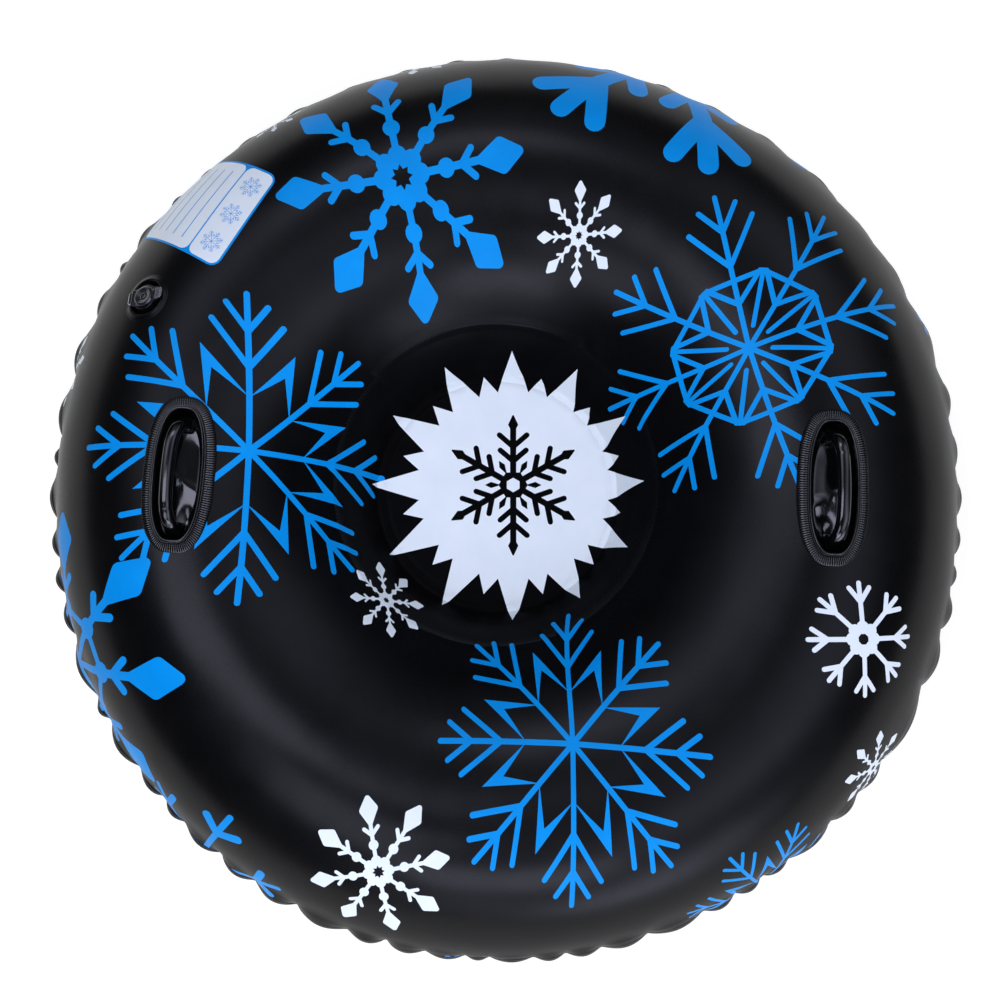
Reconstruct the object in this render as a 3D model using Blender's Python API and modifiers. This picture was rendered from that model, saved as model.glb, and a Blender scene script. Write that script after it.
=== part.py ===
"""Round inflatable snow tube: two welded sheets blown up into a ring, two moulded handles and one valve.

Metres, +Z up. The origin is on the ground under the middle of the ring. +Y points away from the rider's near side.
"""

import math

import bpy
import bmesh
from mathutils import Matrix, Vector

# ---------------------------------------------------------------- driving dimensions (metres, degrees)
SEAM_R = 0.519          # radius of the outer weld, where the two sheets meet
HEM_W = 0.008           # width of the welded hem outside that line
FLOOR_R = 0.139         # radius of the inner weld, the edge of the flat seat floor
UPPER_T = 0.0006        # printed top sheet
LOWER_T = 0.0009        # heavier bottom sheet
PLY_GAP = 0.0003        # clearance kept between pieces that touch
FOOT_HALF_W = 0.0125    # half width of the flat ring that the tube stands on
RING_STEPS = 48         # facets round the tube

HANDLE_R = 0.362        # distance of each handle from the tube's axis
HANDLE_AZ = -1.3        # azimuth of the right handle; the left one is opposite
FLANGE_HALF_W = 0.040
FLANGE_HALF_L = 0.088
FLANGE_TOP = 0.0018     # top of the handle's flange above the sheet
HANDLE_WALL = 0.0014
CUP_DEPTH = 0.0365
BOSS_Y = 0.0575         # the two bosses that the grip stands on
BOSS_R = 0.0095
BOSS_TOP = -0.0240
GRIP_R = 0.0085
GRIP_RISE = 0.0087      # centre line of the grip above the sheet, at its middle
GRIP_BOW = 0.0090       # how far the grip bows to the outside of the tube

VALVE_R = 0.459
VALVE_AZ = 152.3
VALVE_TURN = 26.0       # turn of the pull tab from "straight inwards", towards +Y
VALVE_FLANGE_R = 0.0300
VALVE_FLANGE_BORE = 0.0215
STEM_R = 0.0155
STEM_TOP = 0.0030
STEM_NECK_R = 0.0100
STEM_BORE = 0.0075
STEM_END = -0.0240
FLAP_R = 0.0096
FLAP_T = 0.0008
PLATE_T = 0.0022
PLUG_HINGE = (-0.0176, 0.0026)   # along the tab, above the sheet
VALVE_STEPS = 28


# ---------------------------------------------------------------- clean start and collections
for old in list(bpy.data.objects):
    bpy.data.objects.remove(old, do_unlink=True)

parts = bpy.data.collections.new("snow_tube")
cutters = bpy.data.collections.new("cutters")
for c in (parts, cutters):
    bpy.context.scene.collection.children.link(c)


def material(name, colour, roughness, metallic=0.0):
    m = bpy.data.materials.new(name)
    m.use_nodes = True
    p = m.node_tree.nodes["Principled BSDF"]
    p.inputs["Base Color"].default_value = (*colour, 1.0)
    p.inputs["Roughness"].default_value = roughness
    p.inputs["Metallic"].default_value = metallic
    return m


MAT_TOP = material("printed_pvc", (0.012, 0.012, 0.016), 0.42)
MAT_BOTTOM = material("heavy_pvc", (0.010, 0.010, 0.012), 0.48)
MAT_CUP = material("moulded_pvc", (0.008, 0.008, 0.010), 0.16)
MAT_GRIP = material("grip_pvc", (0.008, 0.008, 0.010), 0.14)
MAT_VALVE = material("valve_pvc", (0.020, 0.020, 0.024), 0.30)
MAT_PLUG = material("plug_pvc", (0.060, 0.060, 0.070), 0.25)


# ---------------------------------------------------------------- the shape of the inflated ring
def half_height(crest, lo, hi, n=1500):
    """Height between the crest and a weld for a sheet whose slope obeys sin(slope) = (r^2 - crest^2) / k."""
    k = SEAM_R ** 2 - crest ** 2
    total = 0.0
    for i in range(n):
        t = (i + 0.5) / n
        r = lo + (hi - lo) * (1.0 - (1.0 - t) ** 2)
        s = (r * r - crest * crest) / k
        total += abs(s) / math.sqrt(1.0 - s * s) * (hi - lo) * 2.0 * (1.0 - t) / n
    return total


def crest_radius():
    """Where the top of the ring is, so that both welds lie in one plane."""
    lo = FLOOR_R + 0.01
    hi = math.sqrt((SEAM_R ** 2 + FLOOR_R ** 2) / 2.0) - 0.0001     # beyond it the inner wall would stand upright
    for _ in range(40):
        mid = (lo + hi) / 2.0
        if half_height(mid, mid, SEAM_R) > half_height(mid, FLOOR_R, mid):
            lo = mid
        else:
            hi = mid
    return mid


CREST_R = crest_radius()
K = SEAM_R ** 2 - CREST_R ** 2
SLOPE_IN = math.asin((FLOOR_R ** 2 - CREST_R ** 2) / K)

TABLE = []              # slope, radius, height above the weld plane
z = 0.0
COUNT = 3000
for i in range(COUNT + 1):
    phi = SLOPE_IN + (math.pi / 2.0 - SLOPE_IN) * i / COUNT
    r = math.sqrt(CREST_R ** 2 + K * math.sin(phi))
    if TABLE:
        p0, r0, _ = TABLE[-1]
        pm = (phi + p0) / 2.0
        z -= K * math.sin(pm) / (2.0 * (r + r0) / 2.0) * (phi - p0)
    TABLE.append((phi, r, z))
HEIGHT = max(row[2] for row in TABLE)


def at_radius(radius):
    """Slope and height of the sheet at a distance from the axis."""
    lo, hi = 0, COUNT
    while hi - lo > 1:
        mid = (lo + hi) // 2
        if TABLE[mid][1] > radius:
            hi = mid
        else:
            lo = mid
    p0, r0, z0 = TABLE[lo]
    p1, r1, z1 = TABLE[hi]
    f = min(1.0, max(0.0, (radius - r0) / (r1 - r0)))
    return p0 + (p1 - p0) * f, z0 + (z1 - z0) * f


FOOT_SINK = HEIGHT - at_radius(CREST_R + FOOT_HALF_W)[1]    # the ring flattens by this much where it stands
MID_Z = HEIGHT - FOOT_SINK                                  # height of the weld plane above the ground
UPPER_E = PLY_GAP / 2.0 + UPPER_T                           # outer faces of the two plies at the welds
LOWER_E = PLY_GAP / 2.0 + LOWER_T

SLOPES = [84, 73, 62, 51, 41, 31, 21, 11, 0, -11, -22, -33, -44]   # degrees, outside to inside


def radius_at_slope(deg):
    return math.sqrt(CREST_R ** 2 + K * math.sin(math.radians(deg)))


# ---------------------------------------------------------------- small modelling helpers
def link(obj, mat, collection=parts):
    collection.objects.link(obj)
    if mat is not None:
        obj.data.materials.clear()
        obj.data.materials.append(mat)
    return obj


def smooth(obj, angle=40.0):
    obj.data.shade_smooth()
    obj.data.set_sharp_from_angle(angle=math.radians(angle))


def profile_object(name, points, mat, steps, closed, collection=parts):
    """A profile of (radius, height) points turned about the object's own Z axis."""
    mesh = bpy.data.meshes.new(name)
    edges = [(i, i + 1) for i in range(len(points) - 1)]
    if closed:
        edges.append((len(points) - 1, 0))
    mesh.from_pydata([(x, 0.0, h) for x, h in points], edges, [])
    obj = link(bpy.data.objects.new(name, mesh), mat, collection)
    screw = obj.modifiers.new("turn", "SCREW")
    screw.axis = "Z"
    screw.angle = 2.0 * math.pi
    screw.steps = steps
    screw.render_steps = steps
    screw.use_merge_vertices = True
    screw.merge_threshold = 0.00002
    screw.use_smooth_shade = True
    return obj


def solidify(obj, thickness):
    s = obj.modifiers.new("thickness", "SOLIDIFY")
    s.thickness = thickness
    s.offset = -1.0
    s.use_even_offset = True
    return s


def boolean(obj, other, operation):
    b = obj.modifiers.new(other.name, "BOOLEAN")
    b.operation = operation
    b.object = other
    b.solver = "EXACT"


def cutter(obj):
    obj.hide_render = True
    obj.display_type = "WIRE"
    return obj


def applied(obj):
    """The object's evaluated mesh, welded, in an object of the same name that has no modifiers."""
    bpy.context.view_layer.update()
    deps = bpy.context.evaluated_depsgraph_get()
    mesh = bpy.data.meshes.new_from_object(obj.evaluated_get(deps))
    bm = bmesh.new()
    bm.from_mesh(mesh)
    bmesh.ops.remove_doubles(bm, verts=bm.verts, dist=0.00001)
    bm.to_mesh(mesh)
    bm.free()
    name, mat, home = obj.name, obj.data.materials[0] if obj.data.materials else None, obj.users_collection[0]
    placed, parent = obj.matrix_world.copy(), obj.parent
    bpy.data.objects.remove(obj, do_unlink=True)
    new = bpy.data.objects.new(name, mesh)
    home.objects.link(new)
    if mat is not None:
        new.data.materials.clear()
        new.data.materials.append(mat)
    new.parent = parent
    new.matrix_world = placed
    return new


def oval(a, b, power=2.6, count=32):
    """Points of a rounded oval with half axes a and b."""
    out = []
    for i in range(count):
        t = 2.0 * math.pi * i / count
        c, s = math.cos(t), math.sin(t)
        out.append((a * math.copysign(abs(c) ** (2.0 / power), c), b * math.copysign(abs(s) ** (2.0 / power), s)))
    return out


class Seat:
    """A frame on the top sheet: X across, Y along, Z out of the sheet."""

    def __init__(self, name, radius, azimuth, turn=None):
        phi, h = at_radius(radius)
        az = math.radians(azimuth)
        self.p = Vector((radius * math.cos(az), radius * math.sin(az), MID_Z + h))
        self.n = Vector((math.sin(phi) * math.cos(az), math.sin(phi) * math.sin(az), math.cos(phi)))
        out = Vector((math.cos(phi) * math.cos(az), math.cos(phi) * math.sin(az), -math.sin(phi)))
        if turn is None:
            self.x = out
        else:
            side = self.n.cross(-out)
            self.x = (-out) * math.cos(math.radians(turn)) + side * math.sin(math.radians(turn))
        self.y = self.n.cross(self.x)
        m = Matrix((self.x, self.y, self.n)).transposed().to_4x4()
        m.translation = self.p
        self.empty = bpy.data.objects.new(name, None)
        self.empty.empty_display_size = 0.02
        parts.objects.link(self.empty)
        self.empty.matrix_world = m
        self.matrix = m

    def fall(self, u, v):
        """How far the sheet lies above the tangent plane at (u, v); it is negative where the sheet falls away."""
        t = 0.0
        for _ in range(12):
            q = self.p + self.x * u + self.y * v + self.n * t
            t += (MID_Z + at_radius(math.hypot(q.x, q.y))[1] - q.z) / self.n.z
        return t

    def drape(self, mesh, reach):
        """Lets a flat moulding follow the sheet; the effect fades out over reach below the sheet."""
        for vert in mesh.vertices:
            u, v, w = vert.co
            share = min(1.0, max(0.0, 1.0 + w / reach))
            vert.co.z = w + share * self.fall(u, v)

    def hold(self, obj, shift=(0.0, 0.0, 0.0)):
        obj.parent = self.empty
        obj.matrix_world = self.matrix @ Matrix.Translation(shift)
        return obj


# ---------------------------------------------------------------- the two sheets
def sheet_points(outer_e, foot):
    """From the floor's centre up and over the ring to the hem, as (radius, height over the weld plane)."""
    pts = [(0.0, outer_e), (FLOOR_R, outer_e)]
    for deg in reversed(SLOPES):
        if deg == 0 and foot:
            pts.append((CREST_R - FOOT_HALF_W, HEIGHT - FOOT_SINK))
            pts.append((CREST_R + FOOT_HALF_W, HEIGHT - FOOT_SINK))
            continue
        radius = radius_at_slope(deg)
        pts.append((radius, at_radius(radius)[1]))
    pts.append((SEAM_R, outer_e))
    pts.append((SEAM_R + HEM_W, outer_e))
    return pts


def sheet(name, points, mat, thickness):
    obj = profile_object(name, points, mat, RING_STEPS, closed=False)
    weld = obj.modifiers.new("centre", "WELD")
    weld.merge_threshold = 0.00005
    solidify(obj, thickness)
    return obj


upper = sheet("upper_skin", [(x, MID_Z + h) for x, h in sheet_points(UPPER_E, False)], MAT_TOP, UPPER_T)
lower = sheet("lower_skin", [(x, MID_Z - h) for x, h in reversed(sheet_points(LOWER_E, True))], MAT_BOTTOM, LOWER_T)


# ---------------------------------------------------------------- handles
def cup(seat, name):
    """Weld flange and deep finger cup: ovals lofted into a bath, then thickened."""
    rings = [
        (FLANGE_HALF_W, FLANGE_HALF_L, FLANGE_TOP),
        (0.0310, 0.0790, FLANGE_TOP),
        (0.0300, 0.0780, FLANGE_TOP - 0.0008),
        (0.0290, 0.0766, -0.0030),
        (0.0275, 0.0740, -0.0140),
        (0.0245, 0.0690, -0.0250),
        (0.0180, 0.0600, -0.0330),
        (0.0090, 0.0460, -CUP_DEPTH),
    ]
    bm = bmesh.new()
    loops = []
    for a, b, w in rings:
        verts = [bm.verts.new((x, y, w)) for x, y in oval(a, b)]
        loops.append([bm.edges.new((verts[i], verts[(i + 1) % len(verts)])) for i in range(len(verts))])
    for one, two in zip(loops, loops[1:]):
        bmesh.ops.bridge_loops(bm, edges=one + two)
    bmesh.ops.contextual_create(bm, geom=loops[-1])
    bmesh.ops.recalc_face_normals(bm, faces=bm.faces)
    bm.faces.ensure_lookup_table()
    flange_face = max(bm.faces, key=lambda f: f.calc_center_median().z)
    if flange_face.normal.z < 0:
        bmesh.ops.reverse_faces(bm, faces=bm.faces)
    mesh = bpy.data.meshes.new(name)
    bm.to_mesh(mesh)
    bm.free()
    seat.drape(mesh, CUP_DEPTH)
    obj = link(bpy.data.objects.new(name, mesh), MAT_CUP)
    seat.hold(obj)
    solidify(obj, HANDLE_WALL)
    for sign in (-1, 1):
        bm = bmesh.new()
        bmesh.ops.create_cone(bm, cap_ends=True, segments=24, radius1=BOSS_R, radius2=BOSS_R, depth=0.0140)
        mesh = bpy.data.meshes.new(name + "_boss")
        bm.to_mesh(mesh)
        bm.free()
        boss = cutter(link(bpy.data.objects.new("%s_boss_%s" % (name, "near" if sign < 0 else "far"), mesh), None, cutters))
        seat.hold(boss, (0.0, sign * BOSS_Y, BOSS_TOP - 0.0070))
        boolean(obj, boss, "UNION")
    smooth(obj)
    return obj


def spline(points, per_span):
    """A smooth curve through the points (Catmull-Rom)."""
    pts = [Vector(p) for p in points]
    pts = [pts[0] * 2 - pts[1]] + pts + [pts[-1] * 2 - pts[-2]]
    out = []
    for i in range(1, len(pts) - 2):
        a, b, c, d = pts[i - 1:i + 3]
        for k in range(per_span):
            t = k / per_span
            out.append(0.5 * ((2 * b) + (c - a) * t + (2 * a - 5 * b + 4 * c - d) * t * t + (3 * b - a - 3 * c + d) * t ** 3))
    out.append(pts[-2])
    return out


def grip(seat, name):
    """The bar: up from one boss, bowed outwards and up, and down to the other."""
    foot = BOSS_TOP + PLY_GAP
    half = [
        (0.0, -BOSS_Y, foot + 0.0030),
        (0.0012, -BOSS_Y + 0.0008, -0.0130),
        (0.0026, -BOSS_Y + 0.0042, -0.0055),
        (0.0046, -0.0480, 0.0012),
        (0.0066, -0.0360, 0.0052),
        (GRIP_BOW - 0.0008, -0.0180, GRIP_RISE - 0.0010),
        (GRIP_BOW, 0.0, GRIP_RISE),
    ]
    route = half + [(x, -y, w) for x, y, w in reversed(half[:-1])]
    pts = [Vector((0.0, -BOSS_Y, foot))] + spline(route, 2) + [Vector((0.0, BOSS_Y, foot))]
    curve = bpy.data.curves.new(name, "CURVE")
    curve.dimensions = "3D"
    curve.bevel_depth = GRIP_R
    curve.bevel_resolution = 2
    curve.use_fill_caps = True
    line = curve.splines.new("POLY")
    line.points.add(len(pts) - 1)
    for point, co in zip(line.points, pts):
        point.co = (*co, 1.0)
    line.use_smooth = True
    obj = link(bpy.data.objects.new(name, curve), MAT_GRIP)
    seat.hold(obj)
    return obj


def oval_hole(seat, name):
    """Prism that opens the top sheet for a handle's cup."""
    bm = bmesh.new()
    face = bm.faces.new([bm.verts.new((x, y, -0.030)) for x, y in oval(0.0326, 0.0806)])
    made = bmesh.ops.extrude_face_region(bm, geom=[face])
    bmesh.ops.translate(bm, verts=[g for g in made["geom"] if isinstance(g, bmesh.types.BMVert)], vec=(0, 0, 0.045))
    bmesh.ops.recalc_face_normals(bm, faces=bm.faces)
    mesh = bpy.data.meshes.new(name)
    bm.to_mesh(mesh)
    bm.free()
    obj = cutter(link(bpy.data.objects.new(name, mesh), None, cutters))
    return seat.hold(obj)


for side, azimuth in (("right", HANDLE_AZ), ("left", HANDLE_AZ + 180.0)):
    seat = Seat(side + "_handle", HANDLE_R, azimuth)
    cup(seat, side + "_handle_cup")
    grip(seat, side + "_handle_grip")
    boolean(upper, oval_hole(seat, side + "_handle_hole"), "DIFFERENCE")


# ---------------------------------------------------------------- valve
valve = Seat("valve", VALVE_R, VALVE_AZ, VALVE_TURN)


def turned(name, points, mat, steps=VALVE_STEPS, collection=parts):
    """A closed outline, outside first from top to bottom, turned about the valve's axis."""
    obj = profile_object(name, points, mat, steps, closed=True, collection=collection)
    valve.hold(obj)
    return obj


flange = turned("valve_flange", [
    (VALVE_FLANGE_R - 0.0008, 0.0020), (VALVE_FLANGE_R, 0.0013), (VALVE_FLANGE_R, 0.0004),
    (VALVE_FLANGE_BORE, 0.0004), (VALVE_FLANGE_BORE, 0.0014), (VALVE_FLANGE_BORE + 0.0006, 0.0020)], MAT_VALVE)
flange = applied(flange)
valve.drape(flange.data, 1.0)
smooth(flange)

turned("valve_web", [
    (0.0212, 0.0013), (0.0208, -0.0045), (0.0188, -0.0086), (0.0159, -0.0096),
    (0.0159, -0.0086), (0.0182, -0.0077), (0.0198, -0.0041), (0.0202, 0.0013)], MAT_VALVE)

turned("valve_stem", [
    (STEM_R - 0.0008, STEM_TOP), (STEM_R, STEM_TOP - 0.0008), (STEM_R, -0.0102), (STEM_NECK_R, -0.0120),
    (STEM_NECK_R, STEM_END), (STEM_BORE, STEM_END), (STEM_BORE, STEM_TOP)], MAT_VALVE)

# check flap: a disc with a straight hinge edge, its origin on that edge
bm = bmesh.new()
bmesh.ops.create_cone(bm, cap_ends=True, segments=24, radius1=FLAP_R, radius2=FLAP_R, depth=FLAP_T)
bmesh.ops.translate(bm, verts=bm.verts, vec=(FLAP_R, 0.0, 0.0))
mesh = bpy.data.meshes.new("valve_flap")
bm.to_mesh(mesh)
bm.free()
flap = link(bpy.data.objects.new("valve_flap", mesh), MAT_VALVE)
valve.hold(flap, (-FLAP_R, 0.0, STEM_END - PLY_GAP - FLAP_T / 2.0))

# plug: flat plate with a hinge block, a round cap over the stem and a pull tab, and a tapered stopper under it
HX, HZ = PLUG_HINGE
PLATE_Z = STEM_TOP + PLY_GAP


def plate_outline():
    pts = [(-0.0162, -0.0088)]
    cap_r, neck, tab = 0.0120, 0.0049, 0.0065
    start = math.pi + math.asin(0.0088 / cap_r)
    stop = 2.0 * math.pi - math.asin(neck / cap_r)
    for i in range(7):
        t = start + (stop - start) * i / 6
        pts.append((cap_r * math.cos(t), cap_r * math.sin(t)))
    pts.append((0.0150, -tab + 0.0004))
    tip, ry = 0.0253, tab
    for i in range(7):
        t = -math.pi / 2.0 + math.pi * i / 6
        pts.append((tip - 0.0065 + 0.0065 * math.cos(t), ry * math.sin(t)))
    pts.append((0.0150, tab - 0.0004))
    for i in range(7):
        t = -stop + (stop - start) * i / 6
        pts.append((cap_r * math.cos(t), cap_r * math.sin(t)))
    pts.append((-0.0162, 0.0088))
    return pts


curve = bpy.data.curves.new("valve_plug", "CURVE")
curve.dimensions = "2D"
curve.fill_mode = "BOTH"
curve.extrude = PLATE_T / 2.0
line = curve.splines.new("POLY")
outline = plate_outline()
line.points.add(len(outline) - 1)
for point, (x, y) in zip(line.points, outline):
    point.co = (x, y, 0.0, 1.0)
line.use_cyclic_u = True
plug = link(bpy.data.objects.new("valve_plug", curve), MAT_PLUG)
valve.hold(plug, (0.0, 0.0, PLATE_Z + PLATE_T / 2.0))
plug = applied(plug)
# its origin goes to the living hinge
shift = Vector((HX, 0.0, HZ - PLATE_Z - PLATE_T / 2.0))
plug.data.transform(Matrix.Translation(-shift))
valve.hold(plug, (HX, 0.0, HZ))
stopper = cutter(turned("valve_plug_stopper", [
    (0.0070, PLATE_Z + PLATE_T / 2.0), (0.0070, PLATE_Z - 0.0004), (0.0056, -0.0050), (0.0048, -0.0055),
    (0.0030, -0.0055), (0.0030, PLATE_Z + PLATE_T / 2.0)], None, 24, cutters))
boolean(plug, stopper, "UNION")

# strap: a bent strip from the stem's side to the plate
route = [(-0.0159, -0.0030), (-0.0172, -0.0022), (-0.0182, -0.0004), (-0.0188, 0.0020), (-0.0187, 0.0038),
         (-0.0179, 0.0047), (-0.0166, 0.0049)]
bm = bmesh.new()
rows = [[bm.verts.new((x, y, w)) for x, w in route] for y in (-0.0060, 0.0060)]
for i in range(len(route) - 1):
    bm.edges.new((rows[0][i], rows[0][i + 1]))
    bm.edges.new((rows[1][i], rows[1][i + 1]))
bmesh.ops.bridge_loops(bm, edges=bm.edges[:])
mesh = bpy.data.meshes.new("valve_strap")
bm.to_mesh(mesh)
bm.free()
strap = link(bpy.data.objects.new("valve_strap", mesh), MAT_PLUG)
valve.hold(strap)
strap_t = solidify(strap, 0.0008)
strap_t.offset = 0.0

# hole in the top sheet for the valve
bm = bmesh.new()
bmesh.ops.create_cone(bm, cap_ends=True, segments=32, radius1=0.0222, radius2=0.0222, depth=0.040)
mesh = bpy.data.meshes.new("valve_hole")
bm.to_mesh(mesh)
bm.free()
hole = cutter(link(bpy.data.objects.new("valve_hole", mesh), None, cutters))
valve.hold(hole)
boolean(upper, hole, "DIFFERENCE")

bpy.context.view_layer.update()
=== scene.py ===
import math

import bmesh
import bpy
import numpy as np
from mathutils import Matrix, Vector, kdtree
from mathutils.geometry import delaunay_2d_cdt


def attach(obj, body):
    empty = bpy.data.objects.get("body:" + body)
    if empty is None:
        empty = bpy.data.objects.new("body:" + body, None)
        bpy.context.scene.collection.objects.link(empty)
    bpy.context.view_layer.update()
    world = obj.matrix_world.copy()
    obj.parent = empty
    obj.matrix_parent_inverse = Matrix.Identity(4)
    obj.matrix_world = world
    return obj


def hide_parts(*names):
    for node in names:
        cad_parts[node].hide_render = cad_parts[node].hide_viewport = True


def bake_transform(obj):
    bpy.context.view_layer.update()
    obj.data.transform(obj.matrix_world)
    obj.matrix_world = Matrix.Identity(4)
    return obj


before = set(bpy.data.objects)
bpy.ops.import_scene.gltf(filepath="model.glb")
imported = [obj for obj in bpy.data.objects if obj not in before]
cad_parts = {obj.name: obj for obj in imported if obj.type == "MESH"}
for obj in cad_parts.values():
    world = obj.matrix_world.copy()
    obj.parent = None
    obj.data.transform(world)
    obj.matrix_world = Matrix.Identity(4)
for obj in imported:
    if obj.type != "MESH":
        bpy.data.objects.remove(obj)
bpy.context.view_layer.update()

# ================================================================ driving dimensions (metres, degrees)
SEAM_R = 0.519          # outer weld of the two sheets
FLOOR_R = 0.139         # inner weld, edge of the flat seat floor
CREST_R = 0.363622      # top of the ring
K = SEAM_R ** 2 - CREST_R ** 2
SLOPE_IN = math.asin((FLOOR_R ** 2 - CREST_R ** 2) / K)
MID_Z = 0.140577        # height of the weld plane
UPPER_E = 0.00075       # outer face of the top sheet over the weld plane, at the welds
LOWER_E = 0.00105
FOOT_H = 0.140577       # the ring is flattened this far under the weld plane, where it stands
HEM_W = 0.0078          # width of the welded edge outside the seam
SEAT_SHIFT = (-0.0100, 0.0084)      # the floor sits a little off the ring's centre


# ================================================================ the blown-up sheet
def profile_table(n=6000):
    """Arc length, radius and height of the sheet from the floor's edge to the seam."""
    phi = np.linspace(SLOPE_IN, math.pi / 2.0, n + 1)
    r = np.sqrt(CREST_R ** 2 + K * np.sin(phi))
    mid = (phi[1:] + phi[:-1]) / 2.0
    rm = (r[1:] + r[:-1]) / 2.0
    ds = K / (2.0 * rm) * np.diff(phi)
    s = np.concatenate([[0.0], np.cumsum(ds)])
    z = np.concatenate([[0.0], np.cumsum(-np.sin(mid) * ds)])
    z -= np.linspace(0.0, z[-1], n + 1)
    return s, r, z, phi


ARC, RAD, HGT, PHI = profile_table()
RHO_SEAM = FLOOR_R + float(ARC[-1])         # the seam's radius on the flat sheet
RHO_EDGE = RHO_SEAM + HEM_W
TOP_H = float(HGT.max())


def smoothstep(a, b, x):
    t = np.clip((x - a) / (b - a), 0.0, 1.0)
    return t * t * (3.0 - 2.0 * t)


def wobble(x, y, seed, size, count=9):
    """Smooth, seeded unevenness from a few crossing waves; about -1 to 1."""
    rng = np.random.default_rng(seed)
    total = np.zeros_like(x)
    for _ in range(count):
        a = rng.uniform(0.0, 2.0 * math.pi)
        k = 2.0 * math.pi / (size * rng.uniform(0.7, 1.6))
        total += np.sin(k * (x * math.cos(a) + y * math.sin(a)) + rng.uniform(0.0, 2.0 * math.pi))
    return total / math.sqrt(count) / 1.3


# pleats of the outer weld: where the gathered edge tucks in, clockwise degrees from the far side
PLEATS = [3.5, 10.0, 17.5, 24.0, 31.5, 39.5, 48.5, 55.0, 63.5, 73.0, 80.0, 86.5, 92.5, 97.5, 101.5, 107.0, 114.5, 125.0, 130.0, 135.0, 142.0, 146.0,
          150.0, 154.5, 162.0, 168.0, 172.5, 176.5, 182.0, 185.0, 190.0, 195.0, 200.0, 207.0, 213.0, 218.5, 224.5, 228.5, 233.5,
          240.5, 244.0, 252.0, 257.5, 262.0, 267.0, 274.0, 277.5, 285.5, 293.5, 300.0, 303.5, 310.5, 315.0, 321.0, 328.5, 336.0,
          344.0, 350.5, 357.0]
PLEAT_AZ = np.sort(np.radians((90.0 - np.array(PLEATS)) % 360.0))
PLEAT_RNG = np.random.default_rng(11)
# counter-clockwise from the right: depth of each tuck and rise of the lobe after it, in mm
PLEAT_DEEP = 0.001 * np.array([
    3.2, 3.6, 1.1, 3.7, 2.8, 4.8, 2.9, 0.9, 4.3, 3.7, 3.9, 4.0, 2.9, 5.0, 2.4, 4.0, 2.5, 4.5, 5.0, 5.0, 3.8, 4.9, 4.8, 5.2, 5.6, 1.0, 5.6, 5.2, 5.0,
    5.0, 0.6, 5.4, 2.3, 5.6, 0.6, 3.6, 1.0, 2.8, 0.6, 4.0, 1.0, 2.0, 1.9, 0.6, 1.5, 0.6, 1.4, 1.5, 2.6, 4.3, 1.2, 2.7, 0.6, 1.3, 3.1, 3.0, 1.7, 4.8, 2.6])
LOBE_BULGE = 0.001 * np.array([
    4.6, 7.2, 6.4, 4.7, 2.5, 4.8, 6.2, 6.0, 4.9, 5.0, 2.9, 5.3, 6.2, 5.7, 5.8, 5.3, 4.5, 3.5, 4.3, 7.0, 4.7, 6.8, 7.4, 7.0, 4.1, 6.2, 5.1, 5.4, 4.3,
    7.0, 4.2, 6.3, 2.7, 2.0, 4.9, 5.3, 6.8, 6.8, 5.1, 4.2, 2.9, 1.0, 2.5, 3.7, 4.1, 4.8, 5.1, 4.3, 3.5, 2.0, 3.9, 3.6, 2.9, 6.0, 5.6, 6.0, 4.2, 4.6, 5.6])
LOBE_LIFT = PLEAT_RNG.uniform(-1.0, 1.0, len(PLEAT_AZ))
# slow unevenness of the ring's outer edge in mm, every 15 degrees clockwise from the far side
EDGE_OUT = np.array([6.7, 7.3, 7.6, 8.9, 9.0, 6.2, 3.4, 4.1, 6.0, 5.3, 2.9, 2.5, 3.9, 3.9, 2.1, 0.7, 0.1, -0.6, 0.0, 2.4, 4.6, 4.3, 3.6, 4.8])
EDGE_WAVES = np.fft.rfft(EDGE_OUT)[:7] / len(EDGE_OUT)


def edge_out(th):
    """The slow unevenness of the outer edge in metres."""
    a = math.pi / 2.0 - th
    total = EDGE_WAVES[0].real * np.ones_like(a)
    for k in range(1, 7):
        total = total + 2.0 * (EDGE_WAVES[k].real * np.cos(k * a) - EDGE_WAVES[k].imag * np.sin(k * a))
    return 0.001 * total


def lobe(th):
    """Which lobe an azimuth is in, how far round it (0 to 1, counter-clockwise) and the lobe's angle."""
    a = np.mod(th, 2.0 * math.pi)
    i = np.searchsorted(PLEAT_AZ, a, side="right") - 1
    n = len(PLEAT_AZ)
    lo = np.where(i < 0, PLEAT_AZ[-1] - 2.0 * math.pi, PLEAT_AZ[np.clip(i, 0, n - 1)])
    j = (i + 1) % n
    hi = np.where(i + 1 >= n, PLEAT_AZ[0] + 2.0 * math.pi, PLEAT_AZ[np.clip(i + 1, 0, n - 1)])
    return np.mod(i, n), j, (a - lo) / (hi - lo), hi - lo


def rim_swell(th, inward):
    """How far the skin stands out (+) or is tucked in (-) along its normal, at an arc distance inward from the seam."""
    i, j, t, span = lobe(th)
    length = span * SEAM_R
    near = 0.0042 + 0.20 * inward           # a pleat is a narrow tuck at the weld that opens out and fades above it
    before = PLEAT_DEEP[i] * (1.0 + (t * length / near) ** 2) ** -1.3
    after = PLEAT_DEEP[j] * (1.0 + ((1.0 - t) * length / (1.5 * near)) ** 2) ** -1.3
    tuck = np.maximum(before, after)
    fade = np.clip(1.0 - inward / (0.014 + 0.50 * length), 0.0, 1.0) ** 2
    bulge = LOBE_BULGE[i] * np.sin(math.pi * np.clip(t, 0.0, 1.0) ** 0.88) ** 1.15
    return (bulge - tuck) * fade + edge_out(th) * np.exp(-(inward / 0.060) ** 2)


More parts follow.
